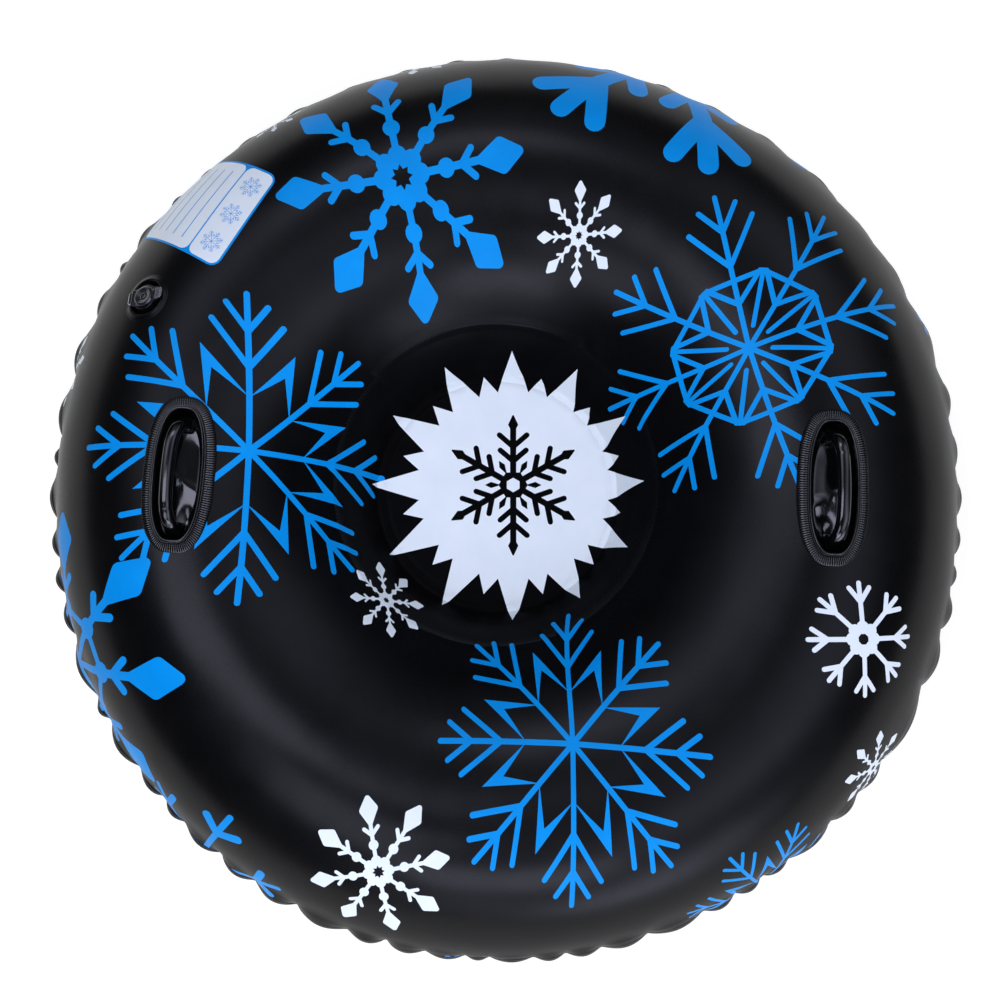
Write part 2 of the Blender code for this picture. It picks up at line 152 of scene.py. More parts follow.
def floor_details(rho, th):
    """Raised weld band of the seat floor, the gathers outside it and the faint crease ring on the well's wall."""
    d = 0.00035 * (smoothstep(0.1318, 0.1324, rho) - smoothstep(0.1382, 0.1390, rho))
    d -= 0.00040 * np.exp(-((rho - 0.1312) / 0.0006) ** 2)
    d -= 0.00035 * np.exp(-((rho - 0.1394) / 0.0007) ** 2)
    out = np.clip(rho - 0.1396, 0.0, None)
    waves = (np.sin(53.0 * th + 1.3) + 0.8 * np.sin(37.0 * th + 0.4) + 0.6 * np.sin(71.0 * th + 2.2)) / 2.0
    d += 0.0011 * waves * (out / 0.004) * np.exp(1.0 - out / 0.004) * (rho > 0.1396) * 0.5
    ring = 0.2135 + 0.0045 * np.cos(th - 2.4)
    d += 0.00028 * np.exp(-((rho - ring) / 0.0011) ** 2)
    d += 0.0007 * smoothstep(-0.010, 0.0, rho - ring) * (1.0 - smoothstep(0.0, 0.012, rho - ring))
    return d


def soft_creases(x, y):
    """Long shallow unevenness of the inflated film and a few settled folds."""
    d = 0.00022 * wobble(x, y, 5, 0.17) + 0.00006 * wobble(x, y, 8, 0.055)
    for (x0, y0, x1, y1, deep, wide) in FOLDS:
        dx, dy = x1 - x0, y1 - y0
        t = np.clip(((x - x0) * dx + (y - y0) * dy) / (dx * dx + dy * dy), 0.0, 1.0)
        q = np.hypot(x - x0 - t * dx, y - y0 - t * dy)
        d += deep * np.exp(-(q / wide) ** 2) * np.sin(math.pi * np.clip(t, 0.02, 0.98)) ** 0.5
    return d


FOLDS = [
    (0.1120, 0.2020, 0.1180, 0.1560, -0.00035, 0.0050),
    (0.1270, 0.1960, 0.1350, 0.1600, 0.00025, 0.0050),
    (-0.1700, 0.1500, -0.1350, 0.1220, -0.0005, 0.0040),
    (0.0500, -0.2150, 0.0620, -0.1700, -0.0004, 0.0040),
    (-0.2100, -0.0500, -0.1650, -0.0380, 0.0004, 0.0040),
]


def hem_turn(th):
    """Tilt of the welded edge below the horizontal: flat just before a pleat, folded down for the rest."""
    i, _, t, span = lobe(th)
    u = np.clip((t - 0.06) / 0.90, 0.0, 1.0)
    out = np.sin(math.pi * u ** 1.15)
    round_to = np.mod(90.0 - np.degrees(th), 360.0)
    flat = 37.0 - 13.0 * smoothstep(50.0, 70.0, round_to) * (1.0 - smoothstep(205.0, 225.0, round_to))
    return np.radians(88.0 - flat * out), out


def skin_points(xy, side):
    """The skin over flat-sheet points (N, 2). side is 1 for the top sheet and -1 for the bottom sheet."""
    x, y = xy[:, 0], xy[:, 1]
    rho = np.hypot(x, y)
    th = np.arctan2(y, x)
    inside = np.minimum(rho, RHO_SEAM)
    s = np.clip(inside - FLOOR_R, 0.0, None)
    r = np.where(inside < FLOOR_R, inside, np.interp(s, ARC, RAD))
    h = np.where(inside < FLOOR_R, 0.0, np.interp(s, ARC, HGT))
    phi = np.where(inside < FLOOR_R, 0.0, np.interp(s, ARC, PHI))
    phi = phi * smoothstep(FLOOR_R, FLOOR_R + 0.003, inside)
    inward = np.clip(RHO_SEAM - inside, 0.0, None)
    swell = rim_swell(th, inward)
    if side > 0:
        d = swell + floor_details(rho, th) * smoothstep(0.0, 0.05, inward) + soft_creases(x, y) * smoothstep(0.0, 0.02, inward)
        e = UPPER_E
    else:
        d = swell * 0.9 + 0.6 * soft_creases(x + 0.31, y - 0.17) * smoothstep(0.0, 0.02, inward)
        e = LOWER_E
    # the welds keep their own thickness
    h = np.where(inward > 0.02, np.sqrt(h * h + e * e), np.hypot(h, e))
    cx, cy = np.cos(th), np.sin(th)
    w = 1.0 - smoothstep(0.145, 0.31, r)
    rr = r + d * np.sin(phi)
    hh = h + d * np.cos(phi)
    if side < 0:
        hh = np.where(hh > FOOT_H - 0.0012, FOOT_H - 0.0012 + 0.0012 * np.tanh((hh - FOOT_H + 0.0012) / 0.0012), hh)
    px = rr * cx + SEAT_SHIFT[0] * w
    py = rr * cy + SEAT_SHIFT[1] * w
    # welded edge outside the seam
    out = np.clip(rho - RHO_SEAM, 0.0, None)
    tilt, open_ = hem_turn(th)
    i, _, t, span = lobe(th)
    lift = 0.0022 * LOBE_LIFT[i] * np.sin(math.pi * t) ** 2
    steps = 10
    er = np.zeros_like(rho)
    ez = np.zeros_like(rho)
    for k in range(steps):
        at = out * (k + 0.5) / steps
        if side > 0:
            ang = math.pi / 2.0 + (tilt - math.pi / 2.0) * smoothstep(0.0, 0.0036, at)
        else:
            ang = -math.pi / 2.0 + (tilt + math.pi / 2.0) * smoothstep(0.0, 0.0022, at)
        er += np.cos(ang) * out / steps
        ez -= np.sin(ang) * out / steps
    rad = np.hypot(px, py)
    px = px + er * cx
    py = py + er * cy
    pz = MID_Z + side * hh + ez + lift * np.exp(-inward / 0.010)
    return np.stack([px, py, pz], 1)


def skin_normals(xy, side, eps=0.00035):
    """Outward normals of the skin, from its own shape."""
    ex, ey = np.array([eps, 0.0]), np.array([0.0, eps])
    a = skin_points(xy + ex, side) - skin_points(xy - ex, side)
    b = skin_points(xy + ey, side) - skin_points(xy - ey, side)
    n = np.cross(a, b) * side
    return n / np.maximum(np.linalg.norm(n, axis=1, keepdims=True), 1e-12)


# ================================================================ print: outlines on the flat sheet (millimetres)
def stroke(x0, y0, x1, y1, h, cap0=True, cap1=True, seg=5):
    """Outline of a straight stroke with round or cut ends."""
    a = math.atan2(y1 - y0, x1 - x0)
    pts = []
    if cap1:
        for i in range(seg + 1):
            t = a - math.pi / 2 + math.pi * i / seg
            pts.append((x1 + h * math.cos(t), y1 + h * math.sin(t)))
    else:
        pts += [(x1 + h * math.sin(a), y1 - h * math.cos(a)), (x1 - h * math.sin(a), y1 + h * math.cos(a))]
    if cap0:
        for i in range(seg + 1):
            t = a + math.pi / 2 + math.pi * i / seg
            pts.append((x0 + h * math.cos(t), y0 + h * math.sin(t)))
    else:
        pts += [(x0 - h * math.sin(a), y0 + h * math.cos(a)), (x0 + h * math.sin(a), y0 - h * math.cos(a))]
    return pts


def disc(x, y, r, n=14, turn=0.0):
    return [(x + r * math.cos(turn + 2 * math.pi * i / n), y + r * math.sin(turn + 2 * math.pi * i / n)) for i in range(n)]


def polar(r, deg):
    return (r * math.cos(math.radians(deg)), r * math.sin(math.radians(deg)))


def turned(pts, deg):
    c, s = math.cos(math.radians(deg)), math.sin(math.radians(deg))
    return [(x * c - y * s, x * s + y * c) for x, y in pts]


def rounded(pts, cuts):
    """Closed outline with each corner rounded by its own radius."""
    out = []
    n = len(pts)
    for i in range(n):
        p, a, b = Vector(pts[i]), Vector(pts[i - 1]), Vector(pts[(i + 1) % n])
        r = cuts[i]
        if r <= 0:
            out.append(tuple(p))
            continue
        u, v = (a - p).normalized(), (b - p).normalized()
        half = math.acos(max(-1.0, min(1.0, u.dot(v)))) / 2.0
        reach = r / math.tan(half)
        q = p + (u + v).normalized() * (r / math.sin(half))
        p0, p1 = p + u * reach, p + v * reach
        a0, a1 = math.atan2(p0.y - q.y, p0.x - q.x), math.atan2(p1.y - q.y, p1.x - q.x)
        d = (a1 - a0 + math.pi) % (2 * math.pi) - math.pi
        m = 4
        out += [(q.x + r * math.cos(a0 + d * k / m), q.y + r * math.sin(a0 + d * k / m)) for k in range(m + 1)]
    return out


def flake_thin():
    """Fern-like arms with arrowheads between them."""
    h = 0.0186
    ink, core = [], []
    for k in range(8):
        arm = [stroke(0.0, 0.0, 1.0, 0.0, h, False, True)]
        for s in (-1, 1):
            arm.append(stroke(0.54, 0.0, 0.825, 0.205 * s, h, False))
            arm.append(stroke(0.767, 0.0, 0.935, 0.120 * s, h, False))
        head = [polar(0.350, 0.0), polar(0.555, 22.5), polar(0.350, 45.0), polar(0.72, 22.5)]
        ink += [turned(p, 45.0 * k) for p in arm + [head]]
    return ink, core


def flake_jewel(linked=False):
    """Arms that end in rounded rhombi, with small barbs and a ball on each arm, and a lobed hub."""
    ink, core = [], []
    for k in range(8):
        arm = [stroke(0.0, 0.0, 0.62, 0.0, 0.0265, False, False)]
        arm.append(rounded([(0.5647, 0.0), (0.803, -0.1306), (1.0, 0.0), (0.803, 0.1306)], [0, 0.045, 0.034, 0.045]))
        for s in (-1, 1):
            arm.append(stroke(0.4797, 0.0, 0.5722, 0.0928 * s, 0.0255, False))
        if linked:
            arm.append(disc(0.370, 0.0, 0.068, 16))
            x, y = polar(0.370, 45.0)
            arm.append(stroke(0.370, 0.0, x, y, 0.0235, False, False))
        else:
            arm.append(disc(0.3548, 0.0, 0.0658, 16))
            arm.append(disc(0.1466, 0.0, 0.0721, 16))
        ink += [turned(p, 45.0 * k) for p in arm]
    if linked:
        ink.append(disc(0.0, 0.0, 0.07, 16))
    else:
        ink.append(disc(0.0, 0.0, 0.15, 16))
        core.append([polar(0.086 if i % 2 == 0 else 0.054, 22.5 * i) for i in range(16)])
    return ink, core


def flake_web():
    """Fern-like arms over an octagonal web."""
    h = 0.016
    ink, core = [], []
    for k in range(8):
        arm = [stroke(0.0, 0.0, 1.0, 0.0, h, False, True)]
        for s in (-1, 1):
            arm.append(stroke(0.54, 0.0, 0.825, 0.205 * s, h, False))
            arm.append(stroke(0.767, 0.0, 0.935, 0.120 * s, h, False))
            x, y = polar(0.485, 20.0 * s)
            arm.append(stroke(0.292, 0.0, x, y, h, False))
        x0, y0 = polar(0.485, -22.0)
        x1, y1 = polar(0.485, 22.0)
        arm.append(stroke(x0, y0, x1, y1, h))
        x0, y0 = polar(0.14, 22.5)
        x1, y1 = polar(0.46, 22.5)
        arm.append(stroke(x0, y0, x1, y1, 0.0145))
        ink += [turned(p, 45.0 * k) for p in arm]
    return ink, core


def flake_round():
    """Stout arms with one pair of branches, and a lobed hub with a round hole."""
    ink, core = [], []
    for k in range(8):
        arm = [stroke(0.2, 0.0, 0.958, 0.0, 0.042, False, True), disc(0.2, 0.0, 0.115, 14)]
        for s in (-1, 1):
            arm.append(stroke(0.63, 0.0, 0.875, 0.177 * s, 0.042, False))
        ink += [turned(p, 45.0 * k) for p in arm]
    ink.append(disc(0.0, 0.0, 0.24, 16))
    core.append(disc(0.0, 0.0, 0.097, 8, math.radians(22.5)))
    return ink, core


def flake_stout(h=0.051, start=0.73, tip=(0.942, 0.168), main=1.0, inner=True):
    """Heavy arms with two pairs of branches, or only the outer one."""
    ink, core = [], []
    for k in range(8):
        arm = [stroke(0.0, 0.0, 1.0, 0.0, h * main, False, True, 8)]
        for s in (-1, 1):
            arm.append(stroke(start, 0.0, tip[0], tip[1] * s, h, False, True, 8))
            if inner:
                arm.append(stroke(start - 0.30, 0.0, tip[0] - 0.325, tip[1] * s, h, False, True, 8))
        ink += [turned(p, 45.0 * k) for p in arm]
    ink.append(disc(0.0, 0.0, 0.16, 16))
    return ink, core


def placed(shape, centre, tips):
    """A flake on the sheet. tips are (radius, azimuth) of its eight arms, which follow the film's slight stretch."""
    tips = sorted(tips, key=lambda q: q[1] % 360.0)
    base = tips[0][1] % 360.0
    nominal = [base + 45.0 * k for k in range(8)]
    rad = np.array([q[0] for q in tips])
    azi = np.array([q[1] % 360.0 for q in tips])
    off = azi - np.array(nominal)
    mean = off.mean()
    nominal = [v + mean for v in nominal]
    off = off - mean
    coef_r = np.fft.rfft(rad) / 8.0
    coef_a = np.fft.rfft(off) / 8.0

    def wave(coef, q):
        v = coef[0].real
        for m in range(1, 5):
            c = coef[m] * (1.0 if m == 4 else 2.0)
            v += c.real * math.cos(m * q) - c.imag * math.sin(m * q)
        return v

    def put(x, y):
        rr = math.hypot(x, y)
        q = math.atan2(y, x)
        grow = wave(coef_r, q)
        turn = math.radians(nominal[0] + wave(coef_a, q)) + q
        return (centre[0] + rr * grow * math.cos(turn), centre[1] + rr * grow * math.sin(turn))

    ink, core = shape
    return [[put(*p) for p in poly] for poly in ink], [[put(*p) for p in poly] for poly in core]


def even(r, first):
    return [(r, first + 45.0 * k) for k in range(8)]


BLUE, WHITE, DARK = "blue", "white", "dark"
PRINT = []          # (ink, outline) in order; a later outline covers an earlier one


def add_flake(ink, shape, centre, tips):
    outlines, holes = placed(shape, centre, tips)
    PRINT.extend((ink, p) for p in outlines)
    PRINT.extend((DARK, p) for p in holes)


add_flake(BLUE, flake_jewel(), (-133.0, 394.8), [(164.0, 12.6), (172.8, 58.9), (180.2, 101.6), (173.2, 144.3), (166.0, 190.3), (171.0, 237.8), (185.8, 281.2), (171.7, 322.6)])
add_flake(BLUE, flake_stout(), (258.0, 680.0), [(271, -90.0), (271, -45.0), (271, 0.0), (271, 45.0), (271, 90.0), (271, 135.0), (271, 180.0), (270, -133.9)])
add_flake(WHITE, flake_jewel(), (97.0, 329.0), [(56.5, 3.2), (60.5, 49.0), (64.5, 90.0), (59.9, 133.0), (55.9, 181.0), (60.5, 229.0), (65.8, 270.5), (59.2, 314.0)])
add_flake(BLUE, flake_web(), (316.3, 175.3), [(195.9, 105.0), (200.4, 61.8), (198.4, 18.8), (190.9, -27.3), (194.2, -71.7), (202.1, -114.9), (189.4, -157.1), (184.9, 153.6)])
add_flake(BLUE, flake_thin(), (-334.5, 41.0), [(202.5, -7.0), (189.8, 39.8), (200.2, 89.0), (201.2, 132.8), (193.6, 177.8), (197.2, -136.2), (199.0, -92.0), (209.6, -46.8)])
add_flake(BLUE, flake_thin(), (85.5, -339.0), [(167.4, -2.6), (171.8, 46.8), (175.8, 88.6), (171.6, 131.1), (169.0, 178.8), (180.5, -133.5), (185.2, -91.4), (179.2, -49.0)])
add_flake(WHITE, flake_jewel(), (-155.5, -481.3), [(91.0, 10.7), (92.2, 55.5), (91.5, 100.2), (91.0, 145.8), (92.5, -169.7), (95.0, -125.8), (92.9, -81.6), (90.5, -34.3)])
add_flake(WHITE, flake_jewel(), (-144.0, -149.0), [(54.6, 2.5), (58.5, 49.0), (59.0, 92.2), (56.5, 137.5), (54.0, 181.2), (54.6, 226.8), (56.5, 272.5), (58.0, 315.0)])
add_flake(WHITE, flake_round(), (442.1, -197.0), [(67.8, 5.0), (70.9, 50.7), (71.5, 93.6), (70.2, 137.4), (69.0, -176.2), (70.9, -130.1), (71.5, -87.0), (69.0, -41.2)])
add_flake(WHITE, flake_jewel(), (490.0, -368.0), even(58.0, 10.0))
add_flake(BLUE, flake_thin(), (372.0, -560.0), even(130.0, 0.5))
add_flake(BLUE, flake_jewel(True), (-598.5, -231.5), even(210.0, -4.6))
add_flake(BLUE, flake_stout(0.0400, 0.749, (0.864, 0.160), 0.72, False), (-454.4, -525.9), [(155.0, -0.2), (154.7, 44.1), (139.4, 91.1), (143, 133), (143, 178), (143, 223), (143, 268), (143, 313)])
add_flake(WHITE, flake_jewel(), (-318.0, 521.0), even(40.0, 15.0))
add_flake(WHITE, flake_jewel(), (-125.5, 621.0), even(56.0, 0.0))
add_flake(WHITE, flake_jewel(), (-621.0, 188.0), even(58.0, -5.0))
add_flake(BLUE, flake_stout(), (690.0, 290.0), even(125.0, 18.0))
add_flake(BLUE, flake_thin(), (694.0, 82.0), even(62.0, 0.0))
add_flake(BLUE, flake_stout(), (-70.0, -716.0), even(76.0, 8.0))
add_flake(BLUE, flake_jewel(), (94.0, -712.0), even(70.0, 0.0))


# parts of the flakes' arms that lie along the welded edge
for first, last, rho, half in ((224.5, 230.6, 652.3, 3.6), (199.6, 204.4, 643.5, 6.5), (198.6, 205.2, 652.3, 3.6)):
    PRINT.append((BLUE, stroke(*polar(rho, first), *polar(rho, last), half)))


# ---------------------------------------------------------------- seat motif: a regular white ice star with a dark six-armed crystal
def star(points, outer, inner, turn):
    return [polar(outer if i % 2 == 0 else inner, turn + 180.0 * i / points) for i in range(2 * points)]


SEAT_C = (19.0, 9.0)


def at_seat(pts):
    return [(x + SEAT_C[0], y + SEAT_C[1]) for x, y in pts]


def seat_motif():
    long_ = star(12, 168.0, 92.0, 0.0)
    PRINT.append((WHITE, at_seat(long_)))
    PRINT.append((WHITE, at_seat(star(12, 132.0, 90.0, 15.0))))
    for k in range(6):
        turn = 60.0 * k + 30.0
        arm = [stroke(12.0, 0.0, 74.0, 0.0, 3.6, False, True)]
        for s in (-1, 1):
            arm.append(stroke(28.0, 0.0, 41.0, 15.0 * s, 3.2, False, True))
            arm.append(stroke(45.0, 0.0, 59.0, 16.0 * s, 3.2, False, True))
        arm.append(rounded([(60.0, 0.0), (71.0, -6.0), (84.0, 0.0), (71.0, 6.0)], [0, 1.5, 1.0, 1.5]))
        arm.append([polar(14.0, 30.0), polar(26.0, 22.0), polar(33.0, 30.0), polar(26.0, 38.0)])
        for p in arm:
            PRINT.append((DARK, at_seat(turned(p, turn))))
    PRINT.append((DARK, at_seat([polar(17.0, 60.0 * i) for i in range(6)])))
    PRINT.append((WHITE, at_seat([polar(8.5, 60.0 * i + 30.0) for i in range(6)])))


seat_motif()


# ---------------------------------------------------------------- blank panel near the rim
PANEL_O = (-328.0, 332.5)       # middle of its inner edge
PANEL_U = (-0.8387, 0.5446)     # towards the rim
PANEL_V = (0.5446, 0.8387)


def on_panel(pts):
    return [(PANEL_O[0] + PANEL_U[0] * a + PANEL_V[0] * b, PANEL_O[1] + PANEL_U[1] * a + PANEL_V[1] * b) for a, b in pts]


def panel_box(a0, b0, a1, b1, r):
    return rounded([(a0, b0), (a1, b0), (a1, b1), (a0, b1)], [r] * 4)


def panel():
    long_ = 158.0
    PRINT.append((BLUE, on_panel(panel_box(0.0, -72.5, long_, 72.5, 13.0))))
    PRINT.append((WHITE, on_panel(panel_box(2.8, -69.7, 46.6, 69.7, 10.0))))
    PRINT.append((WHITE, on_panel(panel_box(48.6, -69.7, long_ - 2.8, 69.7, 10.0))))
    small, _ = flake_thin()
    for b in (-44.0, 0.0, 44.0):
        for p in small:
            q = [(x * 15.0 + 24.7, y * 15.0 + b) for x, y in turned(p, 12.0)]
            PRINT.append((BLUE, on_panel(q)))
    for i in range(5):
        a = 66.0 + 18.0 * i
        PRINT.append((BLUE, on_panel([(a, -56.0), (a + 1.5, -56.0), (a + 1.5, 56.0), (a, 56.0)])))


panel()


# ================================================================ meshes
def oval(a, b, power=2.6, count=32):
    out = []
    for i in range(count):
        t = 2.0 * math.pi * i / count
        c, s = math.cos(t), math.sin(t)
        out.append((a * math.copysign(abs(c) ** (2.0 / power), c), b * math.copysign(abs(s) ** (2.0 / power), s)))
    return out


def flat_from_xy(p):
    """Flat-sheet point of a point seen on the ring from above (outside the well, where there is no shift)."""
    r = math.hypot(p[0], p[1])
    rho = FLOOR_R + float(np.interp(r, RAD, ARC))
    return (p[0] / r * rho, p[1] / r * rho)


class Seat:
    """A frame on the top sheet: X across, Y along, Z out of the sheet."""

    def __init__(self, radius, azimuth, turn=None):
        s = float(np.interp(radius, RAD, ARC))
        phi, h = float(np.interp(s, ARC, PHI)), float(np.interp(s, ARC, HGT))
        az = math.radians(azimuth)
        self.p = Vector((radius * math.cos(az), radius * math.sin(az), MID_Z + h))
        self.n = Vector((math.sin(phi) * math.cos(az), math.sin(phi) * math.sin(az), math.cos(phi)))
        out = Vector((math.cos(phi) * math.cos(az), math.cos(phi) * math.sin(az), -math.sin(phi)))
        if turn is None:
            self.x = out
        else:
            side = self.n.cross(-out)
            self.x = (-out) * math.cos(math.radians(turn)) + side * math.sin(math.radians(turn))
        self.y = self.n.cross(self.x)

    def at(self, u, v, w=0.0):
        return self.p + self.x * u + self.y * v + self.n * w

    def fall(self, u, v):
        """How far the sheet lies above the tangent plane at (u, v)."""
        t = 0.0
        for _ in range(10):
            q = self.at(u, v, t)
            r = math.hypot(q.x, q.y)
            h = float(np.interp(float(np.interp(r, RAD, ARC)), ARC, HGT))
            t += (MID_Z + h - q.z) / self.n.z
        return t

    def on_sheet(self, u, v, w=0.0):
        return self.at(u, v, w + self.fall(u, v))


RIGHT = Seat(0.362, -1.3)
LEFT = Seat(0.362, 179.0, 176.5)
VALVE = Seat(0.459, 152.3, 26.0)

HOLES = []
for seat in (RIGHT, LEFT):
    HOLES.append([flat_from_xy(seat.on_sheet(x, y)) for x, y in oval(0.0326, 0.0806, 2.6, 48)])
HOLES.append([flat_from_xy(VALVE.on_sheet(0.0222 * math.cos(2 * math.pi * i / 32), 0.0222 * math.sin(2 * math.pi * i / 32))) for i in range(32)])


def split_edges(loop, step):
    out = []
    for (x0, y0), (x1, y1) in zip(loop, loop[1:] + loop[:1]):
        n = max(1, int(math.ceil(math.hypot(x1 - x0, y1 - y0) / step)))
        out += [(x0 + (x1 - x0) * k / n, y0 + (y1 - y0) * k / n) for k in range(n)]
    return out


def ring_points(rho, step, phase):
    n = max(8, int(round(2.0 * math.pi * rho / step)))
    t = (np.arange(n) + phase) * 2.0 * math.pi / n
    return np.stack([rho * np.cos(t), rho * np.sin(t)], 1)


def sheet_grid():
    """Ring after ring of points on the flat sheet (metres), closer together at the welds."""
    rings = []
    rho, k = 0.0068, 0
    marks = [0.1306, 0.1312, 0.1319, 0.1325, 0.1354, 0.1381, 0.1388, 0.1394, 0.1400, 0.1412, 0.1430, 0.1455, 0.1485, 0.1525]
    while rho < 0.1290:
        rings.append((rho, 0.0075))
        rho += 0.0068
    for m in marks:
        rings.append((m, 0.0032))
    rho = 0.1575
    while rho < RHO_SEAM - 0.070:
        near_ring = abs(rho - 0.2135) < 0.011
        rings.append((rho, 0.0050 if near_ring else 0.0070))
        rho += 0.0016 if near_ring else 0.0062
    inward = RHO_SEAM - rho
    while inward > 0.0004:
        step = 0.0021 + 0.045 * max(0.0, inward - 0.012)
        rings.append((RHO_SEAM - inward, 0.0028 + 0.050 * max(0.0, inward - 0.012)))
        inward -= step
    for out in (0.0, 0.0008, 0.0016, 0.0025, 0.0042, 0.0060, HEM_W):
        rings.append((RHO_SEAM + out, 0.0029))
    pts = [np.zeros((1, 2))]
    for j, (r, step) in enumerate(rings):
        pts.append(ring_points(r, step, 0.5 * (j % 2)))
    return np.concatenate(pts), rings


def lay_out_sheet():
    """The printed sheet, cut into triangles that follow every outline of the print. Returns points (metres), triangles and inks."""
    verts, edges, faces, tags = [], [], [], []

    def add_loop(loop, tag, step=5.0):
        loop = split_edges(loop, step)
        if sum(a[0] * b[1] - a[1] * b[0] for a, b in zip(loop, loop[1:] + loop[:1])) < 0.0:
            loop.reverse()      # counter-clockwise
        first = len(verts)
        verts.extend((x * 0.001, y * 0.001) for x, y in loop)
        faces.append(list(range(first, first + len(loop))))
        tags.append(tag)

    limit = RHO_EDGE * 1000.0
    for ink, loop in PRINT:
        if min(math.hypot(x, y) for x, y in loop) < limit - 1.0:
            add_loop(loop, ink)
    for loop in HOLES:
        add_loop([(x * 1000.0, y * 1000.0) for x, y in loop], "hole", 4.0)
    marks = np.array(verts)
    tree = kdtree.KDTree(len(marks))
    for i, p in enumerate(marks):
        tree.insert((p[0], p[1], 0.0), i)
    tree.balance()
    grid, rings = sheet_grid()
    keep = []
    for p in grid:
        d = tree.find((p[0], p[1], 0.0))[2]
        rho = math.hypot(p[0], p[1])
        gap = 0.0008 if rho > RHO_SEAM - 0.02 or 0.129 < rho < 0.145 else 0.0024
        if d > gap:
            keep.append((float(p[0]), float(p[1])))
    verts.extend(keep)
    n = max(8, int(round(2.0 * math.pi * RHO_EDGE / 0.0029)))
    rim = len(verts)
    verts.extend((float(a), float(b)) for a, b in ring_points(RHO_EDGE, 0.0029, 0.25))
    faces.append(list(range(rim, rim + n)))
    tags.append("sheet")
    out_v, _, out_f, _, _, face_from = delaunay_2d_cdt([Vector(v) for v in verts], edges, faces, 0, 1e-7, True)
    inks, tris = [], []
    order = {i: t for i, t in enumerate(tags)}
    for f, src in zip(out_f, face_from):
        names = [order[i] for i in src if i < len(tags)]
        if "sheet" not in names or "hole" in names:
            continue
        top = max((i for i in src if i < len(tags) and tags[i] in (BLUE, WHITE, DARK)), default=None)
        inks.append(tags[top] if top is not None else DARK)
        tris.append(list(f))
    used = sorted({v for t in tris for v in t})
    back = {v: i for i, v in enumerate(used)}
    pts = np.array([[out_v[v][0], out_v[v][1]] for v in used])
    return pts, [[back[v] for v in t] for t in tris], inks


def mesh_piece(name, points, faces, materials, slots=None, normals=None, smooth=True):
    mesh = bpy.data.meshes.new(name)
    mesh.from_pydata([tuple(map(float, p)) for p in points], [], [list(map(int, f)) for f in faces])
    for m in materials:
        mesh.materials.append(m)
    if slots is not None:
        mesh.polygons.foreach_set("material_index", np.asarray(slots, dtype=np.int32))
    if smooth:
        mesh.polygons.foreach_set("use_smooth", np.ones(len(mesh.polygons), dtype=bool))
    mesh.update()
    if normals is not None:
        mesh.normals_split_custom_set_from_vertices([tuple(map(float, n)) for n in normals])
    obj = bpy.data.objects.new(name, mesh)
    bpy.context.scene.collection.objects.link(obj)
    return obj


# ================================================================ materials
class Paint:
    """A Principled material whose colour, roughness and relief come from noise over the object's own space."""

    def __init__(self, name, colour, roughness, specular=0.5, coat=0.0, coat_rough=0.1):
        self.mat = bpy.data.materials.new(name)
        self.mat.use_nodes = True
        self.tree = self.mat.node_tree
        self.bsdf = self.tree.nodes["Principled BSDF"]
        self.bsdf.inputs["Base Color"].default_value = (*colour, 1.0)
        self.bsdf.inputs["Roughness"].default_value = roughness
        self.bsdf.inputs["Specular IOR Level"].default_value = specular
        self.bsdf.inputs["Coat Weight"].default_value = coat
        self.bsdf.inputs["Coat Roughness"].default_value = coat_rough
        self.colour = colour
        self.coords = self.node("ShaderNodeTexCoord")
        self.relief = None

    def node(self, kind, **values):
        n = self.tree.nodes.new(kind)
        for k, v in values.items():
            setattr(n, k, v)
        return n

    def link(self, a, b):
        self.tree.links.new(a, b)

    def noise(self, scale, detail=3.0, rough=0.55, stretch=None):
        n = self.node("ShaderNodeTexNoise")
        n.inputs["Scale"].default_value = scale
        n.inputs["Detail"].default_value = detail
        n.inputs["Roughness"].default_value = rough
        if stretch is None:
            self.link(self.coords.outputs["Object"], n.inputs["Vector"])
        else:
            m = self.node("ShaderNodeMapping")
            m.inputs["Scale"].default_value = stretch
            self.link(self.coords.outputs["Object"], m.inputs["Vector"])
            self.link(m.outputs["Vector"], n.inputs["Vector"])
        return n.outputs["Fac"]

    def ranged(self, fac, lo, hi, a=0.3, b=0.7):
        m = self.node("ShaderNodeMapRange")
        m.inputs["From Min"].default_value = a
        m.inputs["From Max"].default_value = b
        m.inputs["To Min"].default_value = lo
        m.inputs["To Max"].default_value = hi
        self.link(fac, m.inputs["Value"])
        return m.outputs["Result"]

    def add(self, a, b, op="ADD"):
        m = self.node("ShaderNodeMath", operation=op)
        for sock, v in zip(m.inputs, (a, b)):
            if isinstance(v, (int, float)):
                sock.default_value = v
            else:
                self.link(v, sock)
        return m.outputs[0]

    def vary_colour(self, fac, other, a=0.35, b=0.75):
        mix = self.node("ShaderNodeMix", data_type="RGBA")
        mix.inputs["A"].default_value = (*self.colour, 1.0)
        mix.inputs["B"].default_value = (*other, 1.0)
        self.link(self.ranged(fac, 0.0, 1.0, a, b), mix.inputs["Factor"])
        self.link(mix.outputs["Result"], self.bsdf.inputs["Base Color"])
        return mix

    def vary_roughness(self, value):
        self.link(value, self.bsdf.inputs["Roughness"])

    def bump(self, height, distance, strength=1.0):
        b = self.node("ShaderNodeBump")
        b.inputs["Distance"].default_value = distance
        b.inputs["Strength"].default_value = strength
        self.link(height, b.inputs["Height"])
        if self.relief is not None:
            self.link(self.relief, b.inputs["Normal"])
        self.relief = b.outputs["Normal"]
        self.link(self.relief, self.bsdf.inputs["Normal"])


